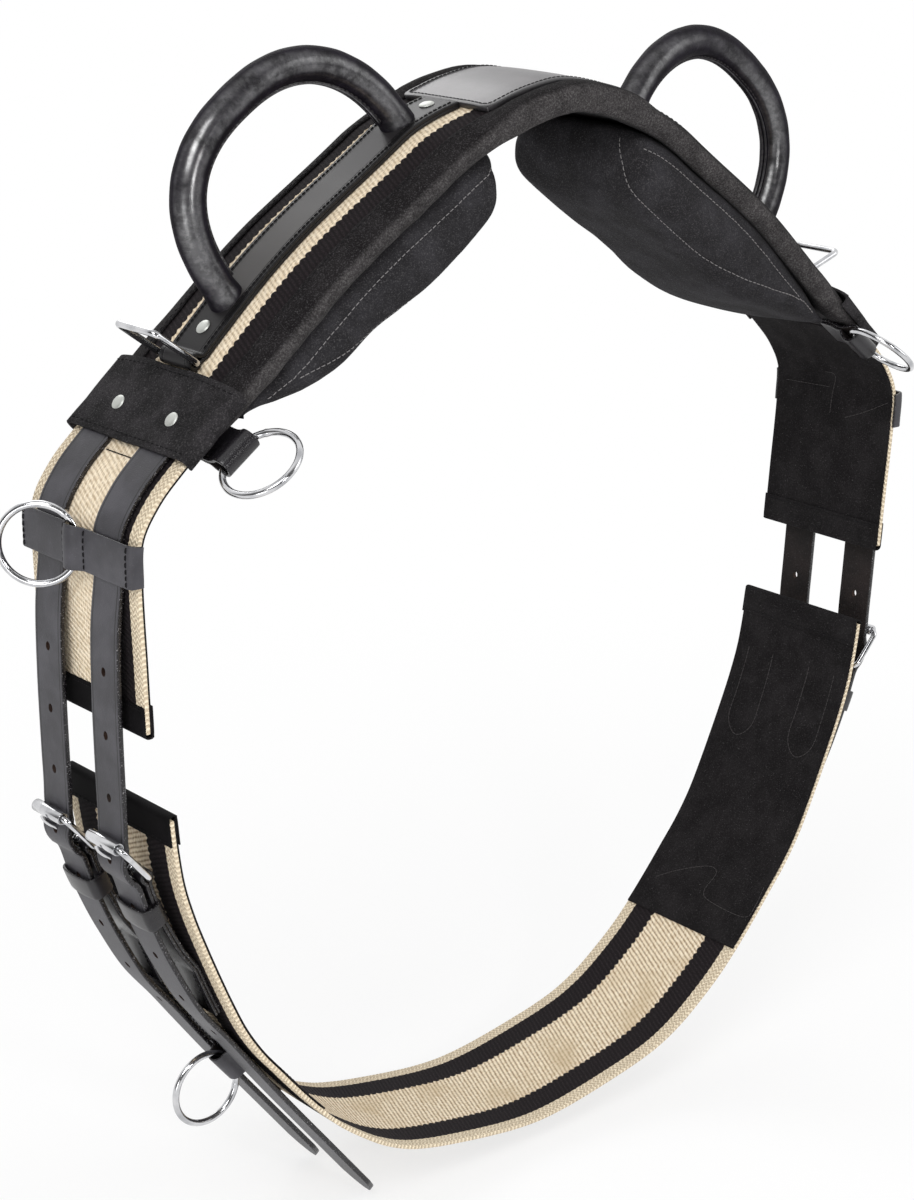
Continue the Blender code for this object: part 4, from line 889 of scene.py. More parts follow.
def settled(face):
    """A rule that thins the wrap with the pad, and lets it swell a little between its stitches."""
    def settle(p):
        out, s, lift = p.T
        swell = 0.00035 * np.sin(s * 2 * math.pi / 0.031) * np.sin(s * 2 * math.pi / 0.087)
        thinned = np.where(lift < PAD_TOP, PAD_TOP + (lift - PAD_TOP) * pad_share(s), lift)
        inward = 0.0022 * ease((np.abs(s) - 0.285) / 0.028)
        roll = 1 - ease((np.abs(s) - 0.048) / 0.030)
        outer = np.clip((np.abs(out) - 0.0425) / 0.006, 0, 1) * np.clip(lift / 0.006 + 1, 0, 1)
        return np.column_stack([out + face * (swell - inward), s, thinned + RIM_ROLL * roll * outer])
    return settle


for row, face in ROWS.items():
    path = Way(through([(face * y, lift) for y, lift in RIM_PATH], 6), side=face)
    rim = blank(f"suede_rim_{row}", path, PAD_END, 0.0008, 0.005, rows=0.0016)
    steps = (bent(path), settled(face), measure, across_strap(on_band, 0.0))
    lay(rim, [SUEDE_RIM], *steps, slot="suede", degrees=60)
    seam = [[(side * s, face * 0.0440, 0.0019) for s in np.linspace(0.068, 0.305, 60)] for side in (-1, 1)]
    stitches(f"rim_stitches_{row}", on_band, seam, 0.0050, 0.0032)

# %% [markdown]
# ## Cushions
# Two stuffed cushions keep the band off the horse's spine. A cushion is a closed bag under
# pressure, so its shape is found by a cloth simulation: a block of about the right
# shape is remeshed evenly, blown up a little, and held to a few millimetres of movement.

# %% Cushions
PANEL_START, PANEL_END, PANEL_HALF, PANEL_DEPTH = 0.062, 0.325, 0.070, 0.050
WALL = [(0, 0.76), (0.10, 0.86), (0.30, 0.955), (0.55, 1.0), (0.80, 0.975), (0.95, 0.89), (1.0, 0.78)]
PANEL_SKIN = 0.0016  # how much smaller the bag is before it is blown up
PRESSED = 0.14  # the left one is pressed flatter at the withers
WORN = 0.008  # how much flatter both are worn where the band turns down
WORN_AT = {-1: (0.68, 0.20), 1: (0.76, 0.12)}  # middle and reach of that, as shares of the length
DRAWN = {-1: 0.020, 1: 0.006}  # how far the front corner at the withers is drawn in
VOXEL, PRESSURE, FRAMES, MOST_SWELL = 0.0045, 2.5, 20, 0.0030


def panel_shape(sign):
    """Turns a block of size 2 into the cushion: x runs from the withers end to the flap end."""
    def shape(p):
        u, v, w = (p[:, 0] + 1) / 2, p[:, 1], (p[:, 2] + 1) / 2
        s = PANEL_START + PANEL_SKIN + u * (PANEL_END - PANEL_START - 2 * PANEL_SKIN)
        start = np.where(u < 0.10, 0.56 + 0.44 * np.sin(np.clip(u / 0.10, 0, 1) * math.pi / 2), 1.0)
        if sign < 0:
            start = start * (1 - PRESSED * (1 - ease(u / 0.45)))
        floor_lift = PAD_TOP - PAD_THICK * pad_share(s) - GAP
        end = -floor_lift + 0.0022
        rear = ease((v + 1) / 2)
        fall = ease((u - 0.65 - 0.06 * rear) / (0.35 - 0.06 * rear))
        depth = PANEL_DEPTH * start + (end + 0.004 * rear - PANEL_DEPTH) * fall
        middle, reach = WORN_AT[sign]
        depth = depth - WORN * np.exp(-(((u - middle) / reach) ** 2))
        slim = 1 - 0.10 * (1 - ease(u / 0.08)) - 0.13 * ease((u - 0.80) / 0.20)
        half = (PANEL_HALF - PANEL_SKIN - 0.0035 * (v < 0)) * slim * np.interp(1 - w, *zip(*WALL))
        y = v * half
        corner = np.clip((-v - 0.15) / 0.85, 0, 1) ** 2 * np.clip(1 - u / 0.25, 0, 1)
        s = s + corner * DRAWN[sign]
        place, outward = TOP.at(sign * s)
        top = crown(s, y)[0] + floor_lift - PANEL_SKIN * 0.4
        bottom = -depth + PANEL_SKIN - 0.0012 * (1 - v**2)
        lift = bottom + (top - bottom) * w
        return in_space(place + outward * lift[:, None], y)
    return shape


def blow_up(piece):
    """Cloth under pressure, with its result applied and its movement capped."""
    before = points_of(piece)
    cloth = piece.modifiers.new("cloth", "CLOTH")
    cloth.settings.use_pressure = True
    cloth.settings.uniform_pressure_force = PRESSURE
    cloth.settings.effector_weights.gravity = 0
    cloth.settings.quality = 5
    cloth.point_cache.frame_start, cloth.point_cache.frame_end = 1, FRAMES
    scene = bpy.context.scene
    for number in range(1, FRAMES + 1):
        scene.frame_set(number)
    take(piece)
    bpy.ops.object.modifier_apply(modifier=cloth.name)
    scene.frame_set(1)
    shift = points_of(piece) - before
    far = np.linalg.norm(shift, axis=1)[:, None]
    move(piece, lambda _: before + shift * np.minimum(1, MOST_SWELL / np.maximum(far, 1e-9)))
    return float(far.max())


def seam_points(piece, sign, points):
    """Points of a piece's surface nearest to a smooth line of (length, width, lift) over the band's line."""
    s, y, lift = through(points).T
    return np.array([piece.closest_point_on_mesh(point)[1] for point in in_space(TOP.off(sign * s, lift), y)])


def pinch(piece, points, deep=0.0012, wide=0.0035):
    """Draws the cushion in along a sewn line."""
    places, normals = points_of(piece), points_of(piece, "normal")
    gaps = np.min([np.linalg.norm(places - point, axis=1) for point in points], axis=0)
    move(piece, lambda p: p - normals * (deep * np.exp(-((gaps / wide) ** 2)))[:, None])


def on_cushion(piece, points, run):
    """A rule that lays (distance, 0, height) along a line of points on the cushion's own surface."""
    def surface(p):
        hits = [piece.closest_point_on_mesh(spot)[1:3] for spot in between(points, run, p[:, 0])]
        return np.array([hit + normal * height for (hit, normal), height in zip(hits, p[:, 2])])
    return surface


TOP_SEAM = [(s, -0.064, float(crown(s, 0.060)[0]) - 0.0168) for s in np.linspace(0.067, 0.302, 12)]
FRONT_SEAM = [
    (0.069, -0.036, -0.016), (0.072, -0.042, -0.030), (0.083, -0.0465, -0.042), (0.1015, -0.052, -0.048),
    (0.138, -0.050, -0.047), (0.173, -0.049, -0.046), (0.2105, -0.0565, -0.041), (0.243, -0.060, -0.030),
    (0.275, -0.060, -0.016),
]
for side, sign in SIDES.items():
    take()
    bpy.ops.mesh.primitive_cube_add(size=2)
    panel = bpy.context.object
    panel.name = panel.data.name = f"cushion_{side}"
    bpy.ops.object.mode_set(mode="EDIT")
    bpy.ops.mesh.subdivide(number_cuts=31)
    bpy.ops.object.mode_set(mode="OBJECT")
    outwards(move(panel, panel_shape(sign)))
    apply(panel, "REMESH", mode="VOXEL", voxel_size=VOXEL)
    swelled = blow_up(panel)
    apply(panel, "SMOOTH", factor=0.5, iterations=14)
    apply(panel, "SUBSURF", levels=1, render_levels=1)
    bpy.context.view_layer.update()
    lines = {"top": seam_points(panel, sign, TOP_SEAM), "front": seam_points(panel, sign, FRONT_SEAM)}
    for points in lines.values():
        pinch(panel, points)
    bpy.context.view_layer.update()
    sew_on(paint(panel, SUEDE_PANEL), "suede", f"panel_{side}", degrees=80)
    for part, points in lines.items():
        run = run_lengths(points)
        route = [[(x, 0, 0.0002) for x in np.linspace(0, run[-1], 90)]]
        surface = on_cushion(panel, points, run)
        stitches(f"cushion_seam_{part}_{side}", surface, route, 0.0040, 0.0028, 0.0003, THREAD_GREY)
    print("cushion", side, "points", len(panel.data.vertices), "swelled", round(swelled, 4))

# %% [markdown]
# ## Bridge plate
# Over the withers lies a plate of padded leather with a bound edge: one strip of leather rolled
# round all four sides and sewn through. The corners are rounded on the flat piece.

# %% Bridge plate
BRIDGE_HALF, BRIDGE_WIDE, BRIDGE_TURN = 0.063, 0.0415, 0.0075
BIND, BIND_TOP, BIND_SEAM = 0.0050, 0.0045, 0.0036


def bridge_swell(p):
    """The plate's filling: highest in the middle."""
    share = (1 - (p[:, 0] / BRIDGE_HALF) ** 2) * (1 - (p[:, 1] / BRIDGE_WIDE) ** 2)
    return np.column_stack([p[:, :2], p[:, 2] + np.where(p[:, 2] > 0.002, 0.0008 * np.clip(share, 0, 1), 0)])


def round_corners(p):
    """Draws the corners of the flat binding in to a radius."""
    straight = (BRIDGE_HALF - BRIDGE_TURN, BRIDGE_WIDE - BRIDGE_TURN)
    corner = np.abs(p[:, :2]) - straight
    inside = (corner > 0).all(axis=1)
    scale = np.where(inside, corner.max(axis=1) / np.maximum(np.linalg.norm(corner, axis=1), 1e-9), 1.0)
    flat = np.where(inside[:, None], straight + corner * scale[:, None], np.abs(p[:, :2]))
    return np.column_stack([np.sign(p[:, :2]) * flat, p[:, 2]])


plate = blank("bridge_leather", BRIDGE_HALF - 0.002, BRIDGE_WIDE - 0.002, (GAP, 0.0036), 0.003)
lay(plate, [SMOOTH_GREY], bridge_swell, on_band, node="bridge_plate")
bound = blank(
    "bridge_binding", BRIDGE_HALF, BRIDGE_WIDE, (GAP, BIND_TOP), 0.0015, soften=0.0012,
    without=lambda x, y: abs(x) < BRIDGE_HALF - BIND and abs(y) < BRIDGE_WIDE - BIND,
)
lay(move(bound, round_corners), [BRIDGE_EDGE], on_band)
edge = rounded(BIND_SEAM - BRIDGE_HALF, BRIDGE_HALF - BIND_SEAM, BRIDGE_WIDE - BIND_SEAM, 0.004, 5)
edge = np.array([(x, y, BIND_TOP) for x, y in edge + edge[:1]])
run = run_lengths(edge)
seam = between(edge, run, np.linspace(0, run[-1], 240))
stitches("bridge_stitches", on_band, [seam], 0.0034, 0.0031, 0.0003)
print("bridge plate", round(2 * BRIDGE_HALF, 3), "x", round(2 * BRIDGE_WIDE, 3))

# %% [markdown]
# ## Strips under the handles
# Each strip is doubled leather. It lies along the band, turns round the bar of a square ring
# and comes back under itself, and between the two layers lies the handle's steel plate.

# %% Handle strips
STRIP_START, STRIP_HALF, FOLD_HALF = 0.0635, 0.0170, 0.0157
EYE_AT, EYE_LIFT, EYE_MID = 0.3068, 0.00545, 0.0039
HANDLE_FEET, FOOT_HALF = (0.098, 0.259), 0.0062
PLATE_HALF, PLATE_TO = 0.0137, 0.2940
UPPER, LOWER = GAP + 0.00375, GAP + 0.00125

fold = [(s, UPPER) for s in np.linspace(STRIP_START, 0.300, 80)]
fold += circle((EYE_AT, EYE_LIFT), EYE_MID, 118, -118, 17)
fold += [(s, LOWER) for s in np.linspace(0.300, STRIP_START, 80)]
FOLD = Way(fold)


def strip_hole(x, y):
    """The strip is open over the handle's feet, and its lower layer round the steel plate."""
    s, _ = FOLD.at(x)[0][0]
    if x < FOLD.end() / 2:
        return any(abs(s - foot) < FOOT_HALF for foot in HANDLE_FEET) and abs(y) < FOOT_HALF
    return s < PLATE_TO and abs(y) < PLATE_HALF


def narrowed(sign):
    """A rule that narrows the folded end, to turn inside its ring."""
    def narrow(p):
        share = ease((p[:, 0] - 0.2985) / 0.0035)
        return np.column_stack([sign * p[:, 0], p[:, 1] * (1 - share * (1 - FOLD_HALF / STRIP_HALF)), p[:, 2]])
    return narrow


for side, sign in SIDES.items():
    strip = blank(f"handle_strip_{side}_leather", FOLD, STRIP_HALF, 0.0012, 0.0028, strip_hole, 0.0006, 0.0016)
    steps = [bent(FOLD), narrowed(sign)] + [outwards] * (sign < 0) + [on_band]
    rule = lambda centre, normal: int(normal.z < STEEP)
    lay(strip, [STRIP_TOP, STRAP_LINE], *steps, node=f"handle_strip_{side}", rule=rule)
    edge = [[(sign * s, y, GAP + 0.0051) for s in np.linspace(0.066, 0.297, 90)] for y in (-0.0139, 0.0139)]
    stitches(f"strip_stitches_{side}", on_band, edge, 0.0036, 0.0031)
print("fold length", round(FOLD.end(), 4))

# %% [markdown]
# ## Handles
# A handle is a steel rod bent to a square-shouldered arch and sewn into soft leather. The seam
# runs along the inside of the arch, where the palm doesn't meet it. The leather tube is
# a curve with a round bevel, a little thicker where it stands on the strip.

# %% Handles
HANDLE_RISE, HANDLE_POWER, GRIP_RADIUS = 0.0855, 2.35, 0.01075
HANDLE_LEAN, HANDLE_SAG = math.radians(6.0), 0.003  # its tilt to the rear, and its pull towards the lower foot
SEAM_PARTS = [  # from and to across the arch, and how far it stands off the tube
    ("lip_a", -0.0022, -0.0006, 0.0016), ("gap", -0.0008, 0.0008, 0.0003), ("lip_b", 0.0006, 0.0022, 0.0016),
]


def above(s, lift=0.0053):
    """A point over the band's flat middle, in the XZ plane."""
    place, outward = TOP.at(s)
    return (place + outward * (crown(s, 0.0)[0] + lift))[0]


def arch_line():
    """The handle's centre line on the right side, from the upper foot to the lower one."""
    high, low = above(HANDLE_FEET[0]), above(HANDLE_FEET[1])
    half = np.linalg.norm(low - high) / 2
    along = (low - high) / (2 * half)
    angles = np.radians(np.linspace(0, 180, 73))
    c, s = np.cos(angles), np.sin(angles)
    v = HANDLE_RISE * np.abs(s) ** (2 / HANDLE_POWER)
    u = half * np.sign(c) * np.abs(c) ** (2 / HANDLE_POWER) - HANDLE_SAG * ease(v / HANDLE_RISE)
    v[[0, -1]] -= 0.002
    return np.column_stack([-u, v]), (high + low) / 2, along, np.array([-along[1], along[0]])


ARCH_LINE, ARCH_MIDDLE, ARCH_ALONG, ARCH_OUT = arch_line()
ARCH = Way(ARCH_LINE)


def on_arch(sign):
    """A rule that lays points (along the arch, across it, away from it) on a handle leaning to the rear."""
    along = np.array([ARCH_ALONG[0] * sign, 0, ARCH_ALONG[1]])
    out = np.array([ARCH_OUT[0] * sign, 0, ARCH_OUT[1]]) * math.cos(HANDLE_LEAN) + (0, math.sin(HANDLE_LEAN), 0)
    aside = np.cross(out, along) * sign
    start = np.array([ARCH_MIDDLE[0] * sign, 0, ARCH_MIDDLE[1] + DROP])

    def surface(p):
        flat = ARCH.off(p[:, 0], p[:, 2])
        return start + along * flat[:, :1] + out * flat[:, 1:] + aside * p[:, 1:2]
    return surface


def wire(name, points, diameter, closed=False, radii=None, resolution=8):
    """A round wire or tube through points in space, as a mesh."""
    take()
    curve = bpy.data.curves.new(name, "CURVE")
    curve.dimensions = "3D"
    curve.bevel_depth = diameter / 2
    curve.bevel_resolution = resolution
    curve.use_fill_caps = not closed
    spline = curve.splines.new("POLY")
    spline.points.add(len(points) - 1)
    spline.use_cyclic_u = closed
    for i, place in enumerate(points):
        spline.points[i].co = (*place, 1)
        spline.points[i].radius = 1.0 if radii is None else radii[i]
    piece = bpy.data.objects.new(name, curve)
    bpy.context.scene.collection.objects.link(piece)
    take(piece)
    bpy.ops.object.convert(target="MESH")
    return outwards(bpy.context.object)


for side, sign in SIDES.items():
    steps = np.linspace(0, ARCH.end(), 120)
    lay_arch = on_arch(sign)
    centre = lay_arch(np.column_stack([steps, np.zeros((120, 2))]))
    near_foot = np.minimum(steps, ARCH.end() - steps)
    radii = 1 + 0.07 * (1 - ease(near_foot / 0.012)) + 0.006 * np.sin(steps * 2 * math.pi / 0.019)
    tube = wire(f"handle_{side}_leather", centre, 2 * GRIP_RADIUS, radii=radii, resolution=12)
    sew_on(paint(tube, GRIP), "grip_leather", f"handle_cover_{side}", degrees=60)
    for part, low, high, stands in SEAM_PARTS:
        edge, soft = (-GRIP_RADIUS - stands, -GRIP_RADIUS + 0.0005), 0.0004 if stands > 0.001 else 0
        inner = (0.010, ARCH.end() - 0.010)
        seam = blank(f"handle_{part}_{side}", inner, (low, high), edge, 0.0008, soften=soft, rows=0.003)
        lay(seam, [STRAP_LINE if part == "gap" else GRIP], lay_arch, outwards, slot="grip_leather")
    run = np.linspace(0.012, ARCH.end() - 0.012, 90)
    rows = [[(x, y, -GRIP_RADIUS - 0.0002) for x in run] for y in (-0.0034, 0.0034)]
    stitches(f"handle_stitches_{side}", lay_arch, rows, 0.0042, 0.0028, 0.0003, THREAD_DIM)
    paint(frame["nodes"][f"handle_frame_{side}"], STEEL)
print("handle stands", HANDLE_RISE, "m off its strip, length", round(ARCH.end(), 3))

# %% [markdown]
# ## Rivets
# A rivet head is a shallow dome with a thin rim. It is turned as on a lathe: a circle is
# extruded ring after ring, and each ring is drawn to the profile.

# %% Rivets
def turned(name, profile, segments=32):
    """A body of revolution about Z, from (radius, height) pairs; it closes at radius 0 or on its own start."""
    take()
    bpy.ops.mesh.primitive_circle_add(vertices=segments, radius=1.0, fill_type="NOTHING", location=(0, 0, 0))
    piece = bpy.context.object
    piece.name = piece.data.name = name
    bpy.ops.object.mode_set(mode="EDIT")
    for _ in profile[1:]:
        bpy.ops.mesh.extrude_edges_move(TRANSFORM_OT_translate={"value": (0, 0, 1.0)})
    bpy.ops.object.mode_set(mode="OBJECT")
    radii, heights = (np.array(values) for values in zip(*profile))

    def to_profile(p):
        ring = np.rint(p[:, 2]).astype(int)
        return np.column_stack([p[:, 0] * radii[ring], p[:, 1] * radii[ring], heights[ring]])

    return outwards(move(piece, to_profile))


def axes_at(surface, s, y, lift):
    """Place and directions on a laid surface: X along, Y across, Z out."""
    d = 0.0008
    p = surface(np.array([(s, y, lift), (s + d, y, lift), (s, y + d, lift), (s, y, lift + d)]))
    along, out = Vector(p[1] - p[0]).normalized(), Vector(p[3] - p[0]).normalized()
    return standing(p[0], (along, out.cross(along).normalized(), out))


RIVET_TURN = [
    (0.0, 0.00130), (0.0014, 0.00127), (0.0026, 0.00114), (0.0036, 0.00092), (0.0044, 0.00060),
    (0.0048, 0.00028), (0.0050, 0.0), (0.0048, -0.0004), (0.0, -0.0004),
]
RIVETS = {  # length along the band, width and lift
    "rivet_head_upper_{}": (0.074, 0.0, 0.0056), "rivet_head_lower_{}": (0.283, 0.0, 0.0056),
    "patch_rivet_{}_0": (0.344, -0.0275, 0.0062), "patch_rivet_{}_1": (0.344, 0.0275, 0.0062),
}
for side, sign in SIDES.items():
    for name, (s, y, lift) in RIVETS.items():
        rivet = turned(name.format(side), RIVET_TURN)
        rivet.data.transform(axes_at(on_band, sign * s, y, lift))
        node = rivet.name.replace("_head", "") if "head" in name else None
        sew_on(paint(rivet, RIVET), "nickel", node)
print("rivets", len(SIDES) * len(RIVETS))

# %% [markdown]
# ## Rings
# Round rings are bent from nickelled wire and welded shut: a torus with a slight thickening at
# the weld. Each turns in its leather, so its place and axis come from the frame's joints.

# %% Rings
RING_WIRE, RING_MEAN = 0.0045, 0.02425
SQUARE_SPAN, SQUARE_CORNER = 0.0385, 0.0042
HINGE = {joint["child"]: joint for joint in frame["joints"]}


def swing_axes(node):
    """X from the hinge to the node's middle, Y along the hinge, at the hinge."""
    low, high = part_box(node)
    hinge, axis = Vector(HINGE[node]["pos_m"]), Vector(HINGE[node]["axis"]).normalized()
    out = (low + high) / 2 - hinge
    out = (out - axis * out.dot(axis)).normalized()
    return standing(hinge, (out, axis, out.cross(axis)))


def weld(p):
    """Thickens the wire a little where it was welded."""
    turn = np.arctan2(p[:, 1], p[:, 0])
    mid = np.column_stack([np.cos(turn), np.sin(turn), np.zeros(len(p))]) * RING_MEAN
    near = np.exp(-(((np.abs(turn) - 2.2) / 0.035) ** 2)) * (turn > 0)
    return mid + (p - mid) * (1 + 0.13 * near)[:, None]


def hoop(name, matrix, long, half, corner, diameter):
    """A four-sided ring of wire that hangs from its first bar."""
    loop = rounded(0, long, half, corner, 9)
    return wire(name, [matrix @ Vector((x, y, 0)) for x, y in loop], diameter, True)


for side in SIDES:
    for kind in ("front", "cross", "girth"):
        node = f"{kind}_ring_{side}"
        take()
        bpy.ops.mesh.primitive_torus_add(
            major_segments=128, minor_segments=20, major_radius=RING_MEAN, minor_radius=RING_WIRE / 2
        )
        ring = bpy.context.object
        ring.name = ring.data.name = f"round_ring_{kind}_{side}"
        low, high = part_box(node)
        matrix = swing_axes(node)
        reach = ((low + high) / 2 - matrix.translation).length
        move(ring, weld).data.transform(matrix @ Matrix.Translation((reach, 0, 0)))
        sew_on(paint(ring, NICKEL), "nickel", node, node, 80)
    node = f"square_ring_{side}"
    square = hoop(node + "_wire", swing_axes(node), SQUARE_SPAN, SQUARE_SPAN / 2, SQUARE_CORNER, RING_WIRE)
    sew_on(paint(square, NICKEL), "nickel", node, node, 80)
print("rings", len(SIDES) * 4)

# %% [markdown]
# ## Patch, tabs and crosspiece
# Pieces that run across the band are bent in the plane of its width and then laid at their
# place. The patch covers the joint of band and flap and folds down over both edges; the
# crosspiece holds a ring in an arch between the billets.

# %% Patches
PATCH_PATH = [
    (-0.0613, -0.0034), (-0.0614, 0.0005), (-0.0606, 0.0032), (-0.0584, 0.0048), (-0.0535, 0.0052),
    (-0.044, 0.0052), (-0.030, 0.0053), (-0.0155, 0.0051), (-0.0105, 0.0046), (0.0, 0.0043),
]
PATCH_FROM, PATCH_TO, JOINT_AT = 0.3128, 0.366, 0.3725


def mirrored_path(half, middle=()):
    """One half of a line across the band, what lies in the middle, and the other half."""
    return list(half) + list(middle) + [(-y, lift) for y, lift in reversed(half)]


PATCH = Way(through(mirrored_path(PATCH_PATH[:-1], PATCH_PATH[-1:]), 6))
for side, sign in SIDES.items():
    half = (PATCH_TO - PATCH_FROM) / 2
    patch = blank(f"patch_{side}_suede", PATCH, half, 0.001, 0.0028, rows=0.002)
    steps = (bent(PATCH), outwards, across_strap(on_band, sign * (PATCH_FROM + half)))
    lay(patch, [SUEDE], *steps, slot="suede", node=f"patch_{side}", degrees=60)
    run = np.linspace(-0.058, 0.058, 60)
    lines = [[(sign * s, y, 0.0064) for y in run] for s in (PATCH_FROM + 0.004, PATCH_TO - 0.004)]
    stitches(f"patch_stitches_{side}", on_band, lines, 0.0046, 0.0031)
    across_cream = [[(sign * JOINT_AT, y, 0.0004) for y in np.linspace(-0.0145, 0.0145, 12)]]
    stitches(f"joint_stitches_{side}", on_band, across_cream, 0.0036, 0.0034, 0.0004)

# %% Front tabs
TAB_HALF, TAB_WIDE, BORE = 0.001, 0.0132, 0.0048
# The neck rises behind the eye, because the finished pad is thinner there than the block it stands for.
TAB_PATH = [
    (-0.0300, 0.00555), (-0.0250, 0.0054), (-0.0190, 0.0046), (-0.0140, 0.0034), (-0.0100, 0.0030),
    (-0.0065, 0.0037), *circle((0, 0), BORE + TAB_HALF + 0.0002, 128, -128, 15), (-0.0065, -0.0029),
    (-0.0100, 0.0007), (-0.0140, 0.0012), (-0.0190, 0.0024), (-0.0250, 0.0032), (-0.0300, 0.0034),
]
TAB = Way(through(TAB_PATH, 4))
STRAP_SET, TAB_SET = [STRAP, STRAP_EDGE, STRAP_BACK], [TAB_BLACK, STRAP_EDGE, STRAP_BACK]


def on_hinge(node):
    """A rule that lays (ahead, along the hinge, out) at a ring's hinge."""
    hinge, axis = (np.array(HINGE[node][key]) for key in ("pos_m", "axis"))
    ahead = np.array([0, -1.0, 0])
    out = np.cross(axis, ahead)
    out *= np.sign(out[2])
    return lambda p: hinge + p[:, :1] * ahead + p[:, 2:] * out + p[:, 1:2] * axis


for side in SIDES:
    tab = blank(f"front_tab_{side}", TAB, TAB_WIDE, TAB_HALF, 0.0022, rows=0.0009)
    steps = (bent(TAB), on_hinge(f"front_ring_{side}"), outwards)
    lay(tab, TAB_SET, *steps, node=f"front_ring_tab_{side}", rule=strap_faces(), degrees=50)

# %% Crosspieces
CROSS_AT, CROSS_WIDE, LEATHER_HALF = HEM - 0.107, 0.0125, 0.0011
CROSS_PATH = [
    (-0.0580, -0.0030), (-0.0580, 0.0005), (-0.0577, 0.0034), (-0.0560, 0.0050), (-0.0525, 0.0053),
    (-0.0400, 0.0053), (-0.0250, 0.0053), (-0.0140, 0.0053), (-0.0098, 0.0056), (-0.0074, 0.0070),
]
CROSS = Way(through(mirrored_path(CROSS_PATH, circle((0, 0.0050), 0.0064, 148, 32, 13)), 4))
for side, sign in SIDES.items():
    piece = blank(f"crosspiece_{side}_leather", CROSS, CROSS_WIDE, LEATHER_HALF, 0.0022, rows=0.0012)
    steps = (bent(CROSS), outwards, across_strap(on_band, sign * CROSS_AT))
    lay(piece, STRAP_SET, *steps, node=f"crosspiece_{side}", rule=strap_faces(), degrees=50)
    steps = np.linspace(-0.0118, 0.0118, 12)
    rows = [[(sign * CROSS_AT + t, y, 0.0066) for t in steps] for y in (-0.0108, 0.0108, -0.0545, 0.0545)]
    stitches(f"crosspiece_stitches_{side}", on_band, rows, 0.0034, 0.0031, 0.00048)
print("crosspiece runs", round(CROSS.end(), 4))

# %% [markdown]
# ## Side flaps and girth
# Flaps and girth are the same webbing without a pad, lined with suede where they lie under
# buckles and billets. The cut ends would fray, so each is bound: a strip of black
# leather folded round the end and sewn through all the layers.

# %% Flaps and girth
LINING, LINING_HALF, BOUND, BOUND_HALF, IN_BINDING = 0.0013, 0.0562, 0.0185, 0.0564, 0.003
FLAP_FROM, GIRTH_LINED = 0.3485, GIRTH_END - 0.273
LINING_LIFTS = (PAD_TOP - LINING, PAD_TOP)
INSIDE = LINING_LIFTS[0] - 0.0001
DEEP = LINING_LIFTS[0] - 0.0007
BIND_PATH = [
    (-BOUND, 0.0007), (-0.004, 0.0007), (0.0, 0.0005), (0.0014, -0.0010), (0.0017, -0.0030),
    (0.0014, -0.0050), (0.0, DEEP + 0.0002), (-0.004, DEEP), (-BOUND, DEEP),
]
BIND_WAY = Way(through(BIND_PATH, 5))


def bind_end(name, surface, end, sign):
    """A binding folded round a strap's end; end is a length, and sign the direction it faces."""
    piece = blank(name, BIND_WAY, BOUND_HALF, 0.0005, 0.003, rows=0.0011, soften=0.0003)
    steps = (bent(BIND_WAY), lambda p: surface(np.column_stack([end + sign * (p[:, 0] - 0.0018), p[:, 1:]])))
    rule = lambda centre, normal: int(centre.x > BIND_WAY.end() / 2)
    lay(piece, [BINDING, SUEDE_LINING], *steps, outwards, rule=rule, degrees=60)
    across = np.linspace(-0.054, 0.054, 50)
    rows = [[(end - sign * (BOUND - 0.0005), y, lift) for y in across] for lift in (0.0013, DEEP - 0.0006)]
    stitches(name + "_stitches", surface, rows, 0.0044, 0.0032)


def lining(strap, side, ends, *steps):
    piece = blank(f"{strap}_suede_{side}", sorted(ends), LINING_HALF, LINING_LIFTS, soften=0.0007)
    lay(piece, [SUEDE_LINING], *steps, slot="suede", node=f"{strap}_lining_{side}")


for side, sign in SIDES.items():
    ends = (sign * FLAP_FROM, sign * (HEM - IN_BINDING))
    flap = blank(f"flap_webbing_{side}", sorted(ends), WEB_HALF, (-WEB_THICK, 0.0))
    lay(flap, [BAND_WEAVE], on_band, slot="webbing", node=f"side_flap_{side}")
    lining("flap", side, ends, on_band)
    bind_end(f"flap_binding_{side}", on_band, sign * HEM, sign)
girth = blank("girth_webbing", GIRTH_END - IN_BINDING, WEB_HALF, (-WEB_THICK, 0.0))
lay(girth, [GIRTH_WEAVE], on_girth, outwards, slot="webbing", node="girth_web")
for side, sign in SIDES.items():
    lining("girth", side, (sign * GIRTH_LINED, sign * (GIRTH_END - IN_BINDING)), on_girth, outwards)
    bind_end(f"girth_binding_{side}", on_girth, sign * GIRTH_END, sign)

# %% Seams on the linings
BILLET_Y = 0.030
FLAP_SEAMS = [
    [(0.4275, 0.0472), (0.4266, 0.0300), (0.4252, 0.0038)],
    [(0.4113, 0.0069), (0.4120, -0.0024), (0.4292, 0.0006), (0.4452, 0.0017)],
    [(0.4458, -0.0132), (0.4369, -0.0342), (0.4270, -0.0530)],
]
TAB_SEAM = [
    (0.2445, 0.0433), (0.2558, 0.0283), (0.2687, 0.0036), (0.2663, -0.0069), (0.2495, -0.0048),
    (0.2440, -0.0151), (0.2435, -0.0500), (0.2540, -0.0545), (0.2713, -0.0531),
]
CHAPE_SEAM = [
    (0.444, -0.0125), (0.410, -0.0128), (0.385, -0.0120), (0.374, 0.0),
    (0.385, 0.0120), (0.410, 0.0128), (0.444, 0.0125),
]
CHAPE_SEAMS = [[(s, y + face * 0.031) for s, y in through(CHAPE_SEAM, 8)] for face in ROWS.values()]


def lining_seams(name, surface, sign, seams):
    """Rows of stitches on a lining, through (length, width) pairs."""
    rows = [[(sign * s, y, INSIDE) for s, y in seam] for seam in seams]
    stitches(name, surface, rows, 0.0036, 0.0030, 0.0003, THREAD_DIM)


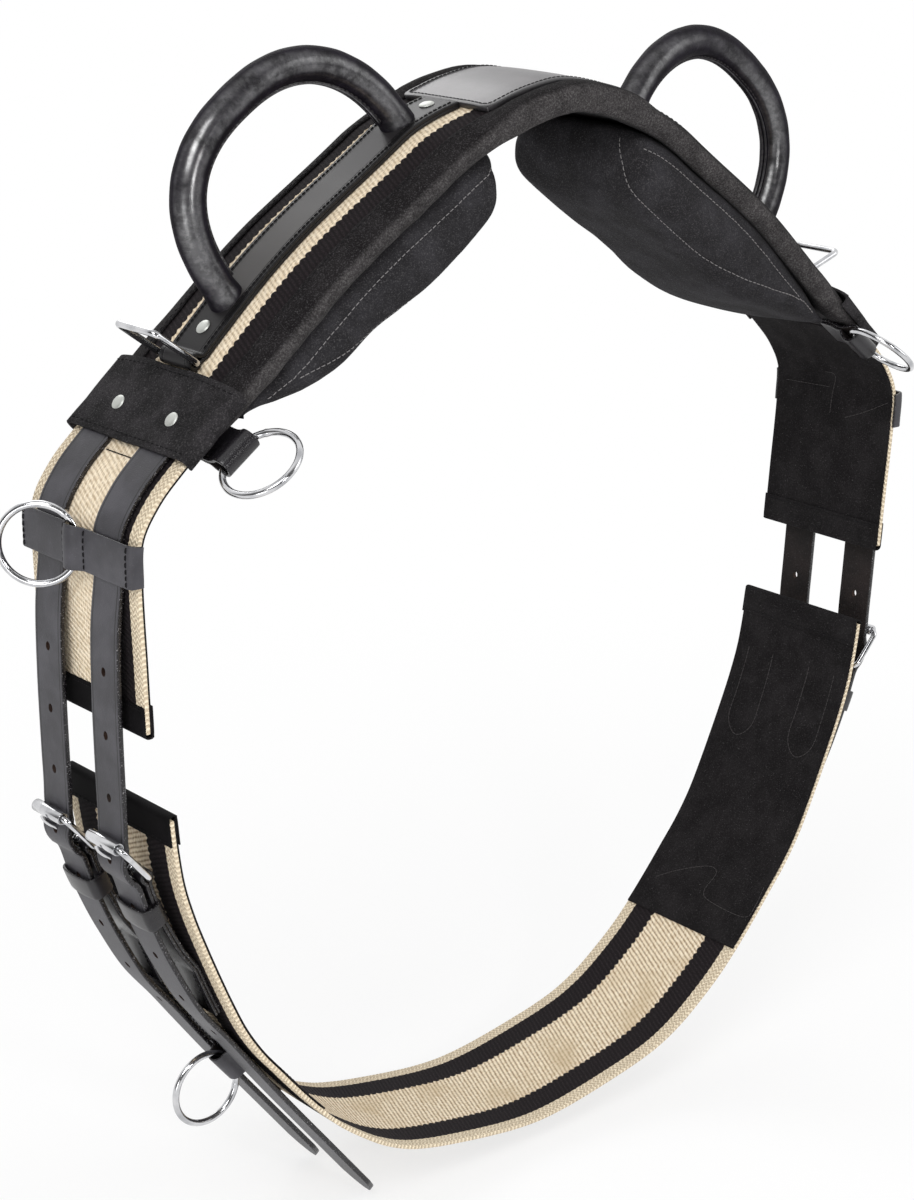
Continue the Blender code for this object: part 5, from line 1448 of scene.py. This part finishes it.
for side, sign in SIDES.items():
    lining_seams(f"flap_seams_{side}", on_band, sign, [through(seam, 8) for seam in FLAP_SEAMS])
    lining_seams(f"girth_seams_{side}", on_girth, sign, [through(TAB_SEAM, 8)] + CHAPE_SEAMS)
print("flap from", FLAP_FROM, "to", round(HEM, 3))

# %% [markdown]
# ## Billets
# A billet is one long punched strap. Its way runs down the flap, behind the buckle's roller, out
# over the heel bar, through the keeper and on along the girth. It is cut flat with its holes and
# its point, and laid afterwards, so every hole stays square to the leather.

# %% The billets' way
ROLLER_AT, HEEL_AT = np.array([0.346, -0.426]), np.array([0.325, -0.450])
BILLET_HALF, BILLET_WIDE, BILLET_ROOT = 0.00175, 0.014, 0.350
ON_WEBBING = GAP + BILLET_HALF
HEEL_LONG = float(np.linalg.norm(HEEL_AT - ROLLER_AT))
BUCKLE_DOWN = (HEEL_AT - ROLLER_AT) / HEEL_LONG
BUCKLE_OUT = np.array([-BUCKLE_DOWN[1], BUCKLE_DOWN[0]])


def in_buckle(along, out):
    """A point of the buckle's plane: along from the roller to the heel bar, and out of the frame."""
    return ROLLER_AT + BUCKLE_DOWN * along + BUCKLE_OUT * out


BILLET_GAP = [(0.3425, -0.296), (0.3425, -0.340), (0.3410, -0.386), (0.3400, -0.408)]
THROUGH_BUCKLE = [
    (0.0025, -0.00615), (0.0075, -0.0028), (0.0125, 0.0040),
    (0.0185, 0.00745), (0.0255, 0.00855), (HEEL_LONG + 0.0015, 0.00825),
]
BILLET_KEEPER = [(0.3225, -0.479), (0.3140, -0.499), (0.3035, -0.520), (0.2850, -0.552), (0.2625, -0.580)]
LEFT_TAIL = [(0.244, -0.604), (0.215, -0.641), (0.180, -0.684), (0.136, -0.738)]
LANDING = GIRTH.nearest(BILLET_KEEPER[-1]) - 0.0434
TAIL = 0.170


def billet_way(side):
    """Down the flap and through the buckle; the left tail hangs free, and the right one lies on the girth."""
    flap_part = TOP.off(np.linspace(BILLET_ROOT, HEM - 0.092, 25), ON_WEBBING)
    points = [tuple(flap_part[-1])] + BILLET_GAP + [tuple(in_buckle(*p)) for p in THROUGH_BUCKLE] + BILLET_KEEPER
    if side == "left":
        return Way(np.vstack([flap_part[:-1], through(points + LEFT_TAIL)]))
    landing = GIRTH.off([LANDING], ON_WEBBING + 0.0005)
    girth_part = GIRTH.off(np.linspace(LANDING - 0.006, LANDING - TAIL, 28), ON_WEBBING)
    return Way(np.vstack([flap_part[:-1], through(points + [tuple(landing[0])]), girth_part]))


# %% Punched and pointed straps
TIP, TIP_SHAPE = 0.018, [(-1.0, 1.0), (-0.45, 0.74), (-0.12, 0.36), (0.0, 0.16)]
HOLE, HOLE_OVAL, HOLE_PITCH = 0.0044, 1.3, 0.040
CREASE = BILLET_WIDE - 0.0022  # the creased line inside each edge


def pointed(end, towards=1):
    """A rule that draws the end of a flat strap in to a blunt point."""
    def draw_in(p):
        share = np.clip((p[:, 0] - end) * towards / TIP, -1, 0)
        return np.column_stack([p[:, 0], p[:, 1] * np.interp(share, *zip(*TIP_SHAPE)), p[:, 2]])
    return draw_in


def punch(piece, places):
    """Oval holes through a flat strap, at distances along its middle."""
    cutters = []
    for x in places:
        take()
        bpy.ops.mesh.primitive_cylinder_add(vertices=20, radius=HOLE / 2, depth=0.02, location=(0, 0, 0))
        cutters.append(bpy.context.object)
        bpy.ops.object.mode_set(mode="EDIT")
        bpy.ops.transform.resize(value=(HOLE_OVAL, 1, 1))
        bpy.ops.transform.translate(value=(x, 0, 0))
        bpy.ops.object.mode_set(mode="OBJECT")
    take(cutters[0])
    for cutter in cutters:
        cutter.select_set(True)
    bpy.ops.object.join()
    tool = bpy.context.object
    apply(piece, "BOOLEAN", object=tool, operation="DIFFERENCE", solver="EXACT")
    bpy.data.objects.remove(tool, do_unlink=True)


def billet_rule(centre, normal):
    """Faces of a billet: as any creased strap's, and 4 inside a hole."""
    in_hole = abs(normal.z) < STEEP and abs(centre.y) <= 0.0065
    return 4 if in_hole else strap_faces(CREASE, 0.00045)(centre, normal)


for side, sign in SIDES.items():
    way = billet_way(side)
    prong = way.nearest(in_buckle(*THROUGH_BUCKLE[2]))
    holes = [prong + i * HOLE_PITCH for i in range(-3, 5)]
    holes = [x for x in holes if x < way.end() - TIP - 0.006]
    for row, face in ROWS.items():
        name = f"billet_{side}_{row}"
        billet = blank(name + "_leather", way, BILLET_WIDE, BILLET_HALF, 0.0009, rows=0.003, soften=0.0006)
        punch(move(billet, pointed(way.end())), holes)
        finishes, steps = STRAP_SET + [STRAP_LINE, HOLE_BROWN], (on_way(way, sign, face * BILLET_Y), outwards)
        lay(billet, finishes, *steps, node=name, rule=billet_rule, degrees=50)
    print("billet", side, round(way.end(), 3), "m with", len(holes), "holes")

# %% [markdown]
# ## Buckles
# A buckle is a bent wire frame, a roller on its upper bar, and a prong hung on its
# heel bar. The frame is held by the chape, so it rides with the strap; the roller and the prong
# move on their own.

# %% Buckles
FRAME_WIRE, FRAME_HALF, FRAME_CORNER, PRONG_WIRE, PLAY = 0.004, 0.0185, 0.0045, 0.0032, 0.0004
ROLLER_TURN = [
    (0.0024, 0.0142), (0.0034, 0.0150), (0.0038, 0.0150), (0.0040, 0.0147), (0.0040, -0.0147),
    (0.0038, -0.0150), (0.0034, -0.0150), (0.0024, -0.0142), (0.0024, 0.0142),
]
REST = 0.004 + PLAY + PRONG_WIRE / 2  # height of the prong's middle over the roller's
BEND = FRAME_WIRE / 2 + PLAY + PRONG_WIRE / 2  # radius of its eye round the heel bar
PRONG_LINE = [
    (-0.003 - HEEL_LONG, REST - 0.0006), (0.001 - HEEL_LONG, REST), (0.006 - HEEL_LONG, REST - 0.0008),
    (0.011 - HEEL_LONG, BEND - 0.0001), (-0.013, BEND - 0.0002), (-0.006, BEND + 0.0001),
]
PRONG_LINE += circle((0, 0), BEND, 90, -205, 17)


def buckle_axes(sign, y):
    """Origin on the roller; X to the heel bar, Y across, Z out of the frame."""
    down, out = (Vector((sign * x, 0, z)) for x, z in (BUCKLE_DOWN, BUCKLE_OUT))
    return standing((sign * ROLLER_AT[0], y, ROLLER_AT[1] + DROP), (down, out.cross(down), out))


for side, sign in SIDES.items():
    for row, face in ROWS.items():
        matrix = buckle_axes(sign, face * BILLET_Y)
        buckle = hoop(f"buckle_{side}_{row}", matrix, HEEL_LONG, FRAME_HALF, FRAME_CORNER, FRAME_WIRE)
        sew_on(paint(buckle, NICKEL), "nickel", f"buckle_frame_{side}_{row}", degrees=80)
        roller = turned(f"buckle_roller_{side}_{row}", ROLLER_TURN, 40)
        roller.data.transform(matrix @ Matrix.Rotation(-math.pi / 2, 4, "X"))
        body = f"roller_{side}_{row}"
        sew_on(paint(outwards(roller), NICKEL), "nickel", body, body, 50)
        shaft = through(PRONG_LINE, 5)
        slim = 1 - 0.35 * (1 - ease(run_lengths(shaft) / 0.010))
        shift = matrix @ Matrix.Translation((HEEL_LONG, 0, 0))
        line = [shift @ Vector((x, 0, z)) for x, z in shaft]
        tongue = wire(f"buckle_prong_{side}_{row}", line, PRONG_WIRE, radii=slim)
        body = f"prong_{side}_{row}"
        sew_on(paint(tongue, NICKEL), "nickel", body, body, 60)
print("buckles", len(SIDES) * len(ROWS))

# %% [markdown]
# ## Chapes and keepers
# The chape is the doubled leather that carries the buckle: from the girth up, round the heel
# bar and down again, slotted for the prong. Its keeper holds the billet down.

# %% Chapes
CHAPE_LINE = [(0.3215, -0.4615), (0.3160, -0.4760), (0.3085, -0.4910), (0.2995, -0.5070)]
CHAPE_ON = GAP + 0.0025
CHAPE_START = GIRTH.nearest(CHAPE_LINE[-1]) - 0.018
CHAPE_END = CHAPE_START - 0.039
LAYER, EYE = 0.00125, 0.00365

free = through([tuple(HEEL_AT)] + CHAPE_LINE + [tuple(GIRTH.off([CHAPE_START], CHAPE_ON)[0])])
seated = GIRTH.off(np.linspace(CHAPE_START - 0.004, CHAPE_END, 10), CHAPE_ON)
CORE = Way(np.vstack([free, seated]))
ahead = CORE.at([0.001])[0][0] - CORE.at([0.0])[0][0]
start_angle = math.degrees(math.atan2(ahead[1], ahead[0]))
legs = np.linspace(0.0052, CORE.end(), 60)
fold = list(map(tuple, CORE.off(legs[::-1], LAYER)))
fold += circle(HEEL_AT, EYE, start_angle + 52, start_angle + 308, 19)
fold += list(map(tuple, CORE.off(legs, -LAYER)))
CHAPE = Way(fold, side=-1)
print("chape strap", round(CHAPE.end(), 4))

KEEPER_AT, KEEPER_LOW, KEEPER_HIGH, KEEPER_HALF, KEEPER_TURN = 0.027, -0.0031, 0.0105, 0.0159, 0.0042
loop = rounded(KEEPER_LOW, KEEPER_HIGH, KEEPER_HALF, KEEPER_TURN, 6)
KEEPER = Way([(KEEPER_LOW, 0.0)] + loop[12:] + loop[:12] + [(KEEPER_LOW, 0.0)], side=-1)


def chape_slot(x, y):
    return abs(x - CHAPE.end() / 2) < 0.0128 and abs(y) < 0.0046


def on_chape(sign, across):
    """A rule that lays (out of the chape, along it, across it) at the keeper's place."""
    def surface(p):
        return in_space(CORE.off(KEEPER_AT + p[:, 1], p[:, 0]) * (sign, 1), across + p[:, 2])
    return surface


for side, sign in SIDES.items():
    for row, face in ROWS.items():
        y, name = face * BILLET_Y, f"chape_{side}_{row}"
        chape = blank(name + "_leather", CHAPE, BILLET_WIDE, 0.0012, 0.0022, chape_slot, 0.0005, 0.0015)
        steps = (on_way(CHAPE, sign, y), outwards)
        lay(chape, TAB_SET + [STRAP_LINE], *steps, node=name, rule=strap_faces(CREASE), degrees=50)
        keeper = blank(f"keeper_{side}_{row}", KEEPER, 0.0075, 0.0009, 0.0025, rows=0.0009)
        lay(keeper, TAB_SET, bent(KEEPER), on_chape(sign, y), outwards, rule=strap_faces(), degrees=50)
        run = np.linspace(CORE.end() - 0.036, CORE.end() - 0.002, 20)
        seams = [[(x, edge, 0.0028) for x in run] for edge in (-0.0112, 0.0112)]
        seams.append([(CORE.end() - 0.0022, edge, 0.0028) for edge in np.linspace(-0.011, 0.011, 8)])
        stitches(f"chape_stitches_{side}_{row}", on_way(CORE, sign, y), seams, 0.0036, 0.0026)

# %% [markdown]
# ## Lower ring tabs
# Between the billets a leather strip is sewn to the girth; a sleeve over its middle
# holds the lowest ring.

# %% Girth tabs
TAB_MIDDLE, TAB_LONG, TAB_BROAD, TAB_THICK = GIRTH_END - 0.229, 0.055, 0.013, 0.0025
SLEEVE_PATH = [(-0.0124, 0.0039), (-0.0100, 0.0039), (-0.0078, 0.0045), (-0.0066, 0.0062)]
SLEEVE_EYE = circle((0, GAP + TAB_THICK / 2 + 0.0069), 0.0061, 180, 0, 15)
SLEEVE = Way(through(mirrored_path(SLEEVE_PATH, SLEEVE_EYE), 4))
for side, sign in SIDES.items():
    middle = sign * TAB_MIDDLE
    ends = (middle - TAB_LONG, middle + TAB_LONG)
    strip = blank(f"girth_tab_{side}", ends, TAB_BROAD, (GAP, GAP + TAB_THICK), 0.0013, rows=0.003)
    move(move(strip, pointed(ends[1])), pointed(ends[0], -1))
    node, rule = f"girth_ring_tab_{side}", strap_faces(0.0108)
    lay(strip, STRAP_SET + [STRAP_LINE], on_girth, outwards, node=node, rule=rule, degrees=50)
    sleeve = blank(f"girth_sleeve_{side}", SLEEVE, CROSS_WIDE, 0.0008, 0.0022, rows=0.0010)
    steps = (bent(SLEEVE), outwards, across_strap(on_girth, middle), outwards)
    lay(sleeve, STRAP_SET, *steps, rule=strap_faces(), degrees=50)
    halves = [np.linspace(*part, 14) for part in ((-0.044, -0.016), (0.016, 0.044))]
    rows = [[(middle + t, y, 0.0029) for t in part] for y in (-0.0088, 0.0088) for part in halves]
    stitches(f"girth_tab_stitches_{side}", on_girth, rows, 0.0038, 0.0028)

# %% [markdown]
# ## Pieces and triangles
# The last cell counts the pieces and their triangles.

# %% Finish
take()
print("pieces", len(PIECES), "triangles", sum(len(p.data.loop_triangles) or len(p.data.polygons) * 2 for p in PIECES))
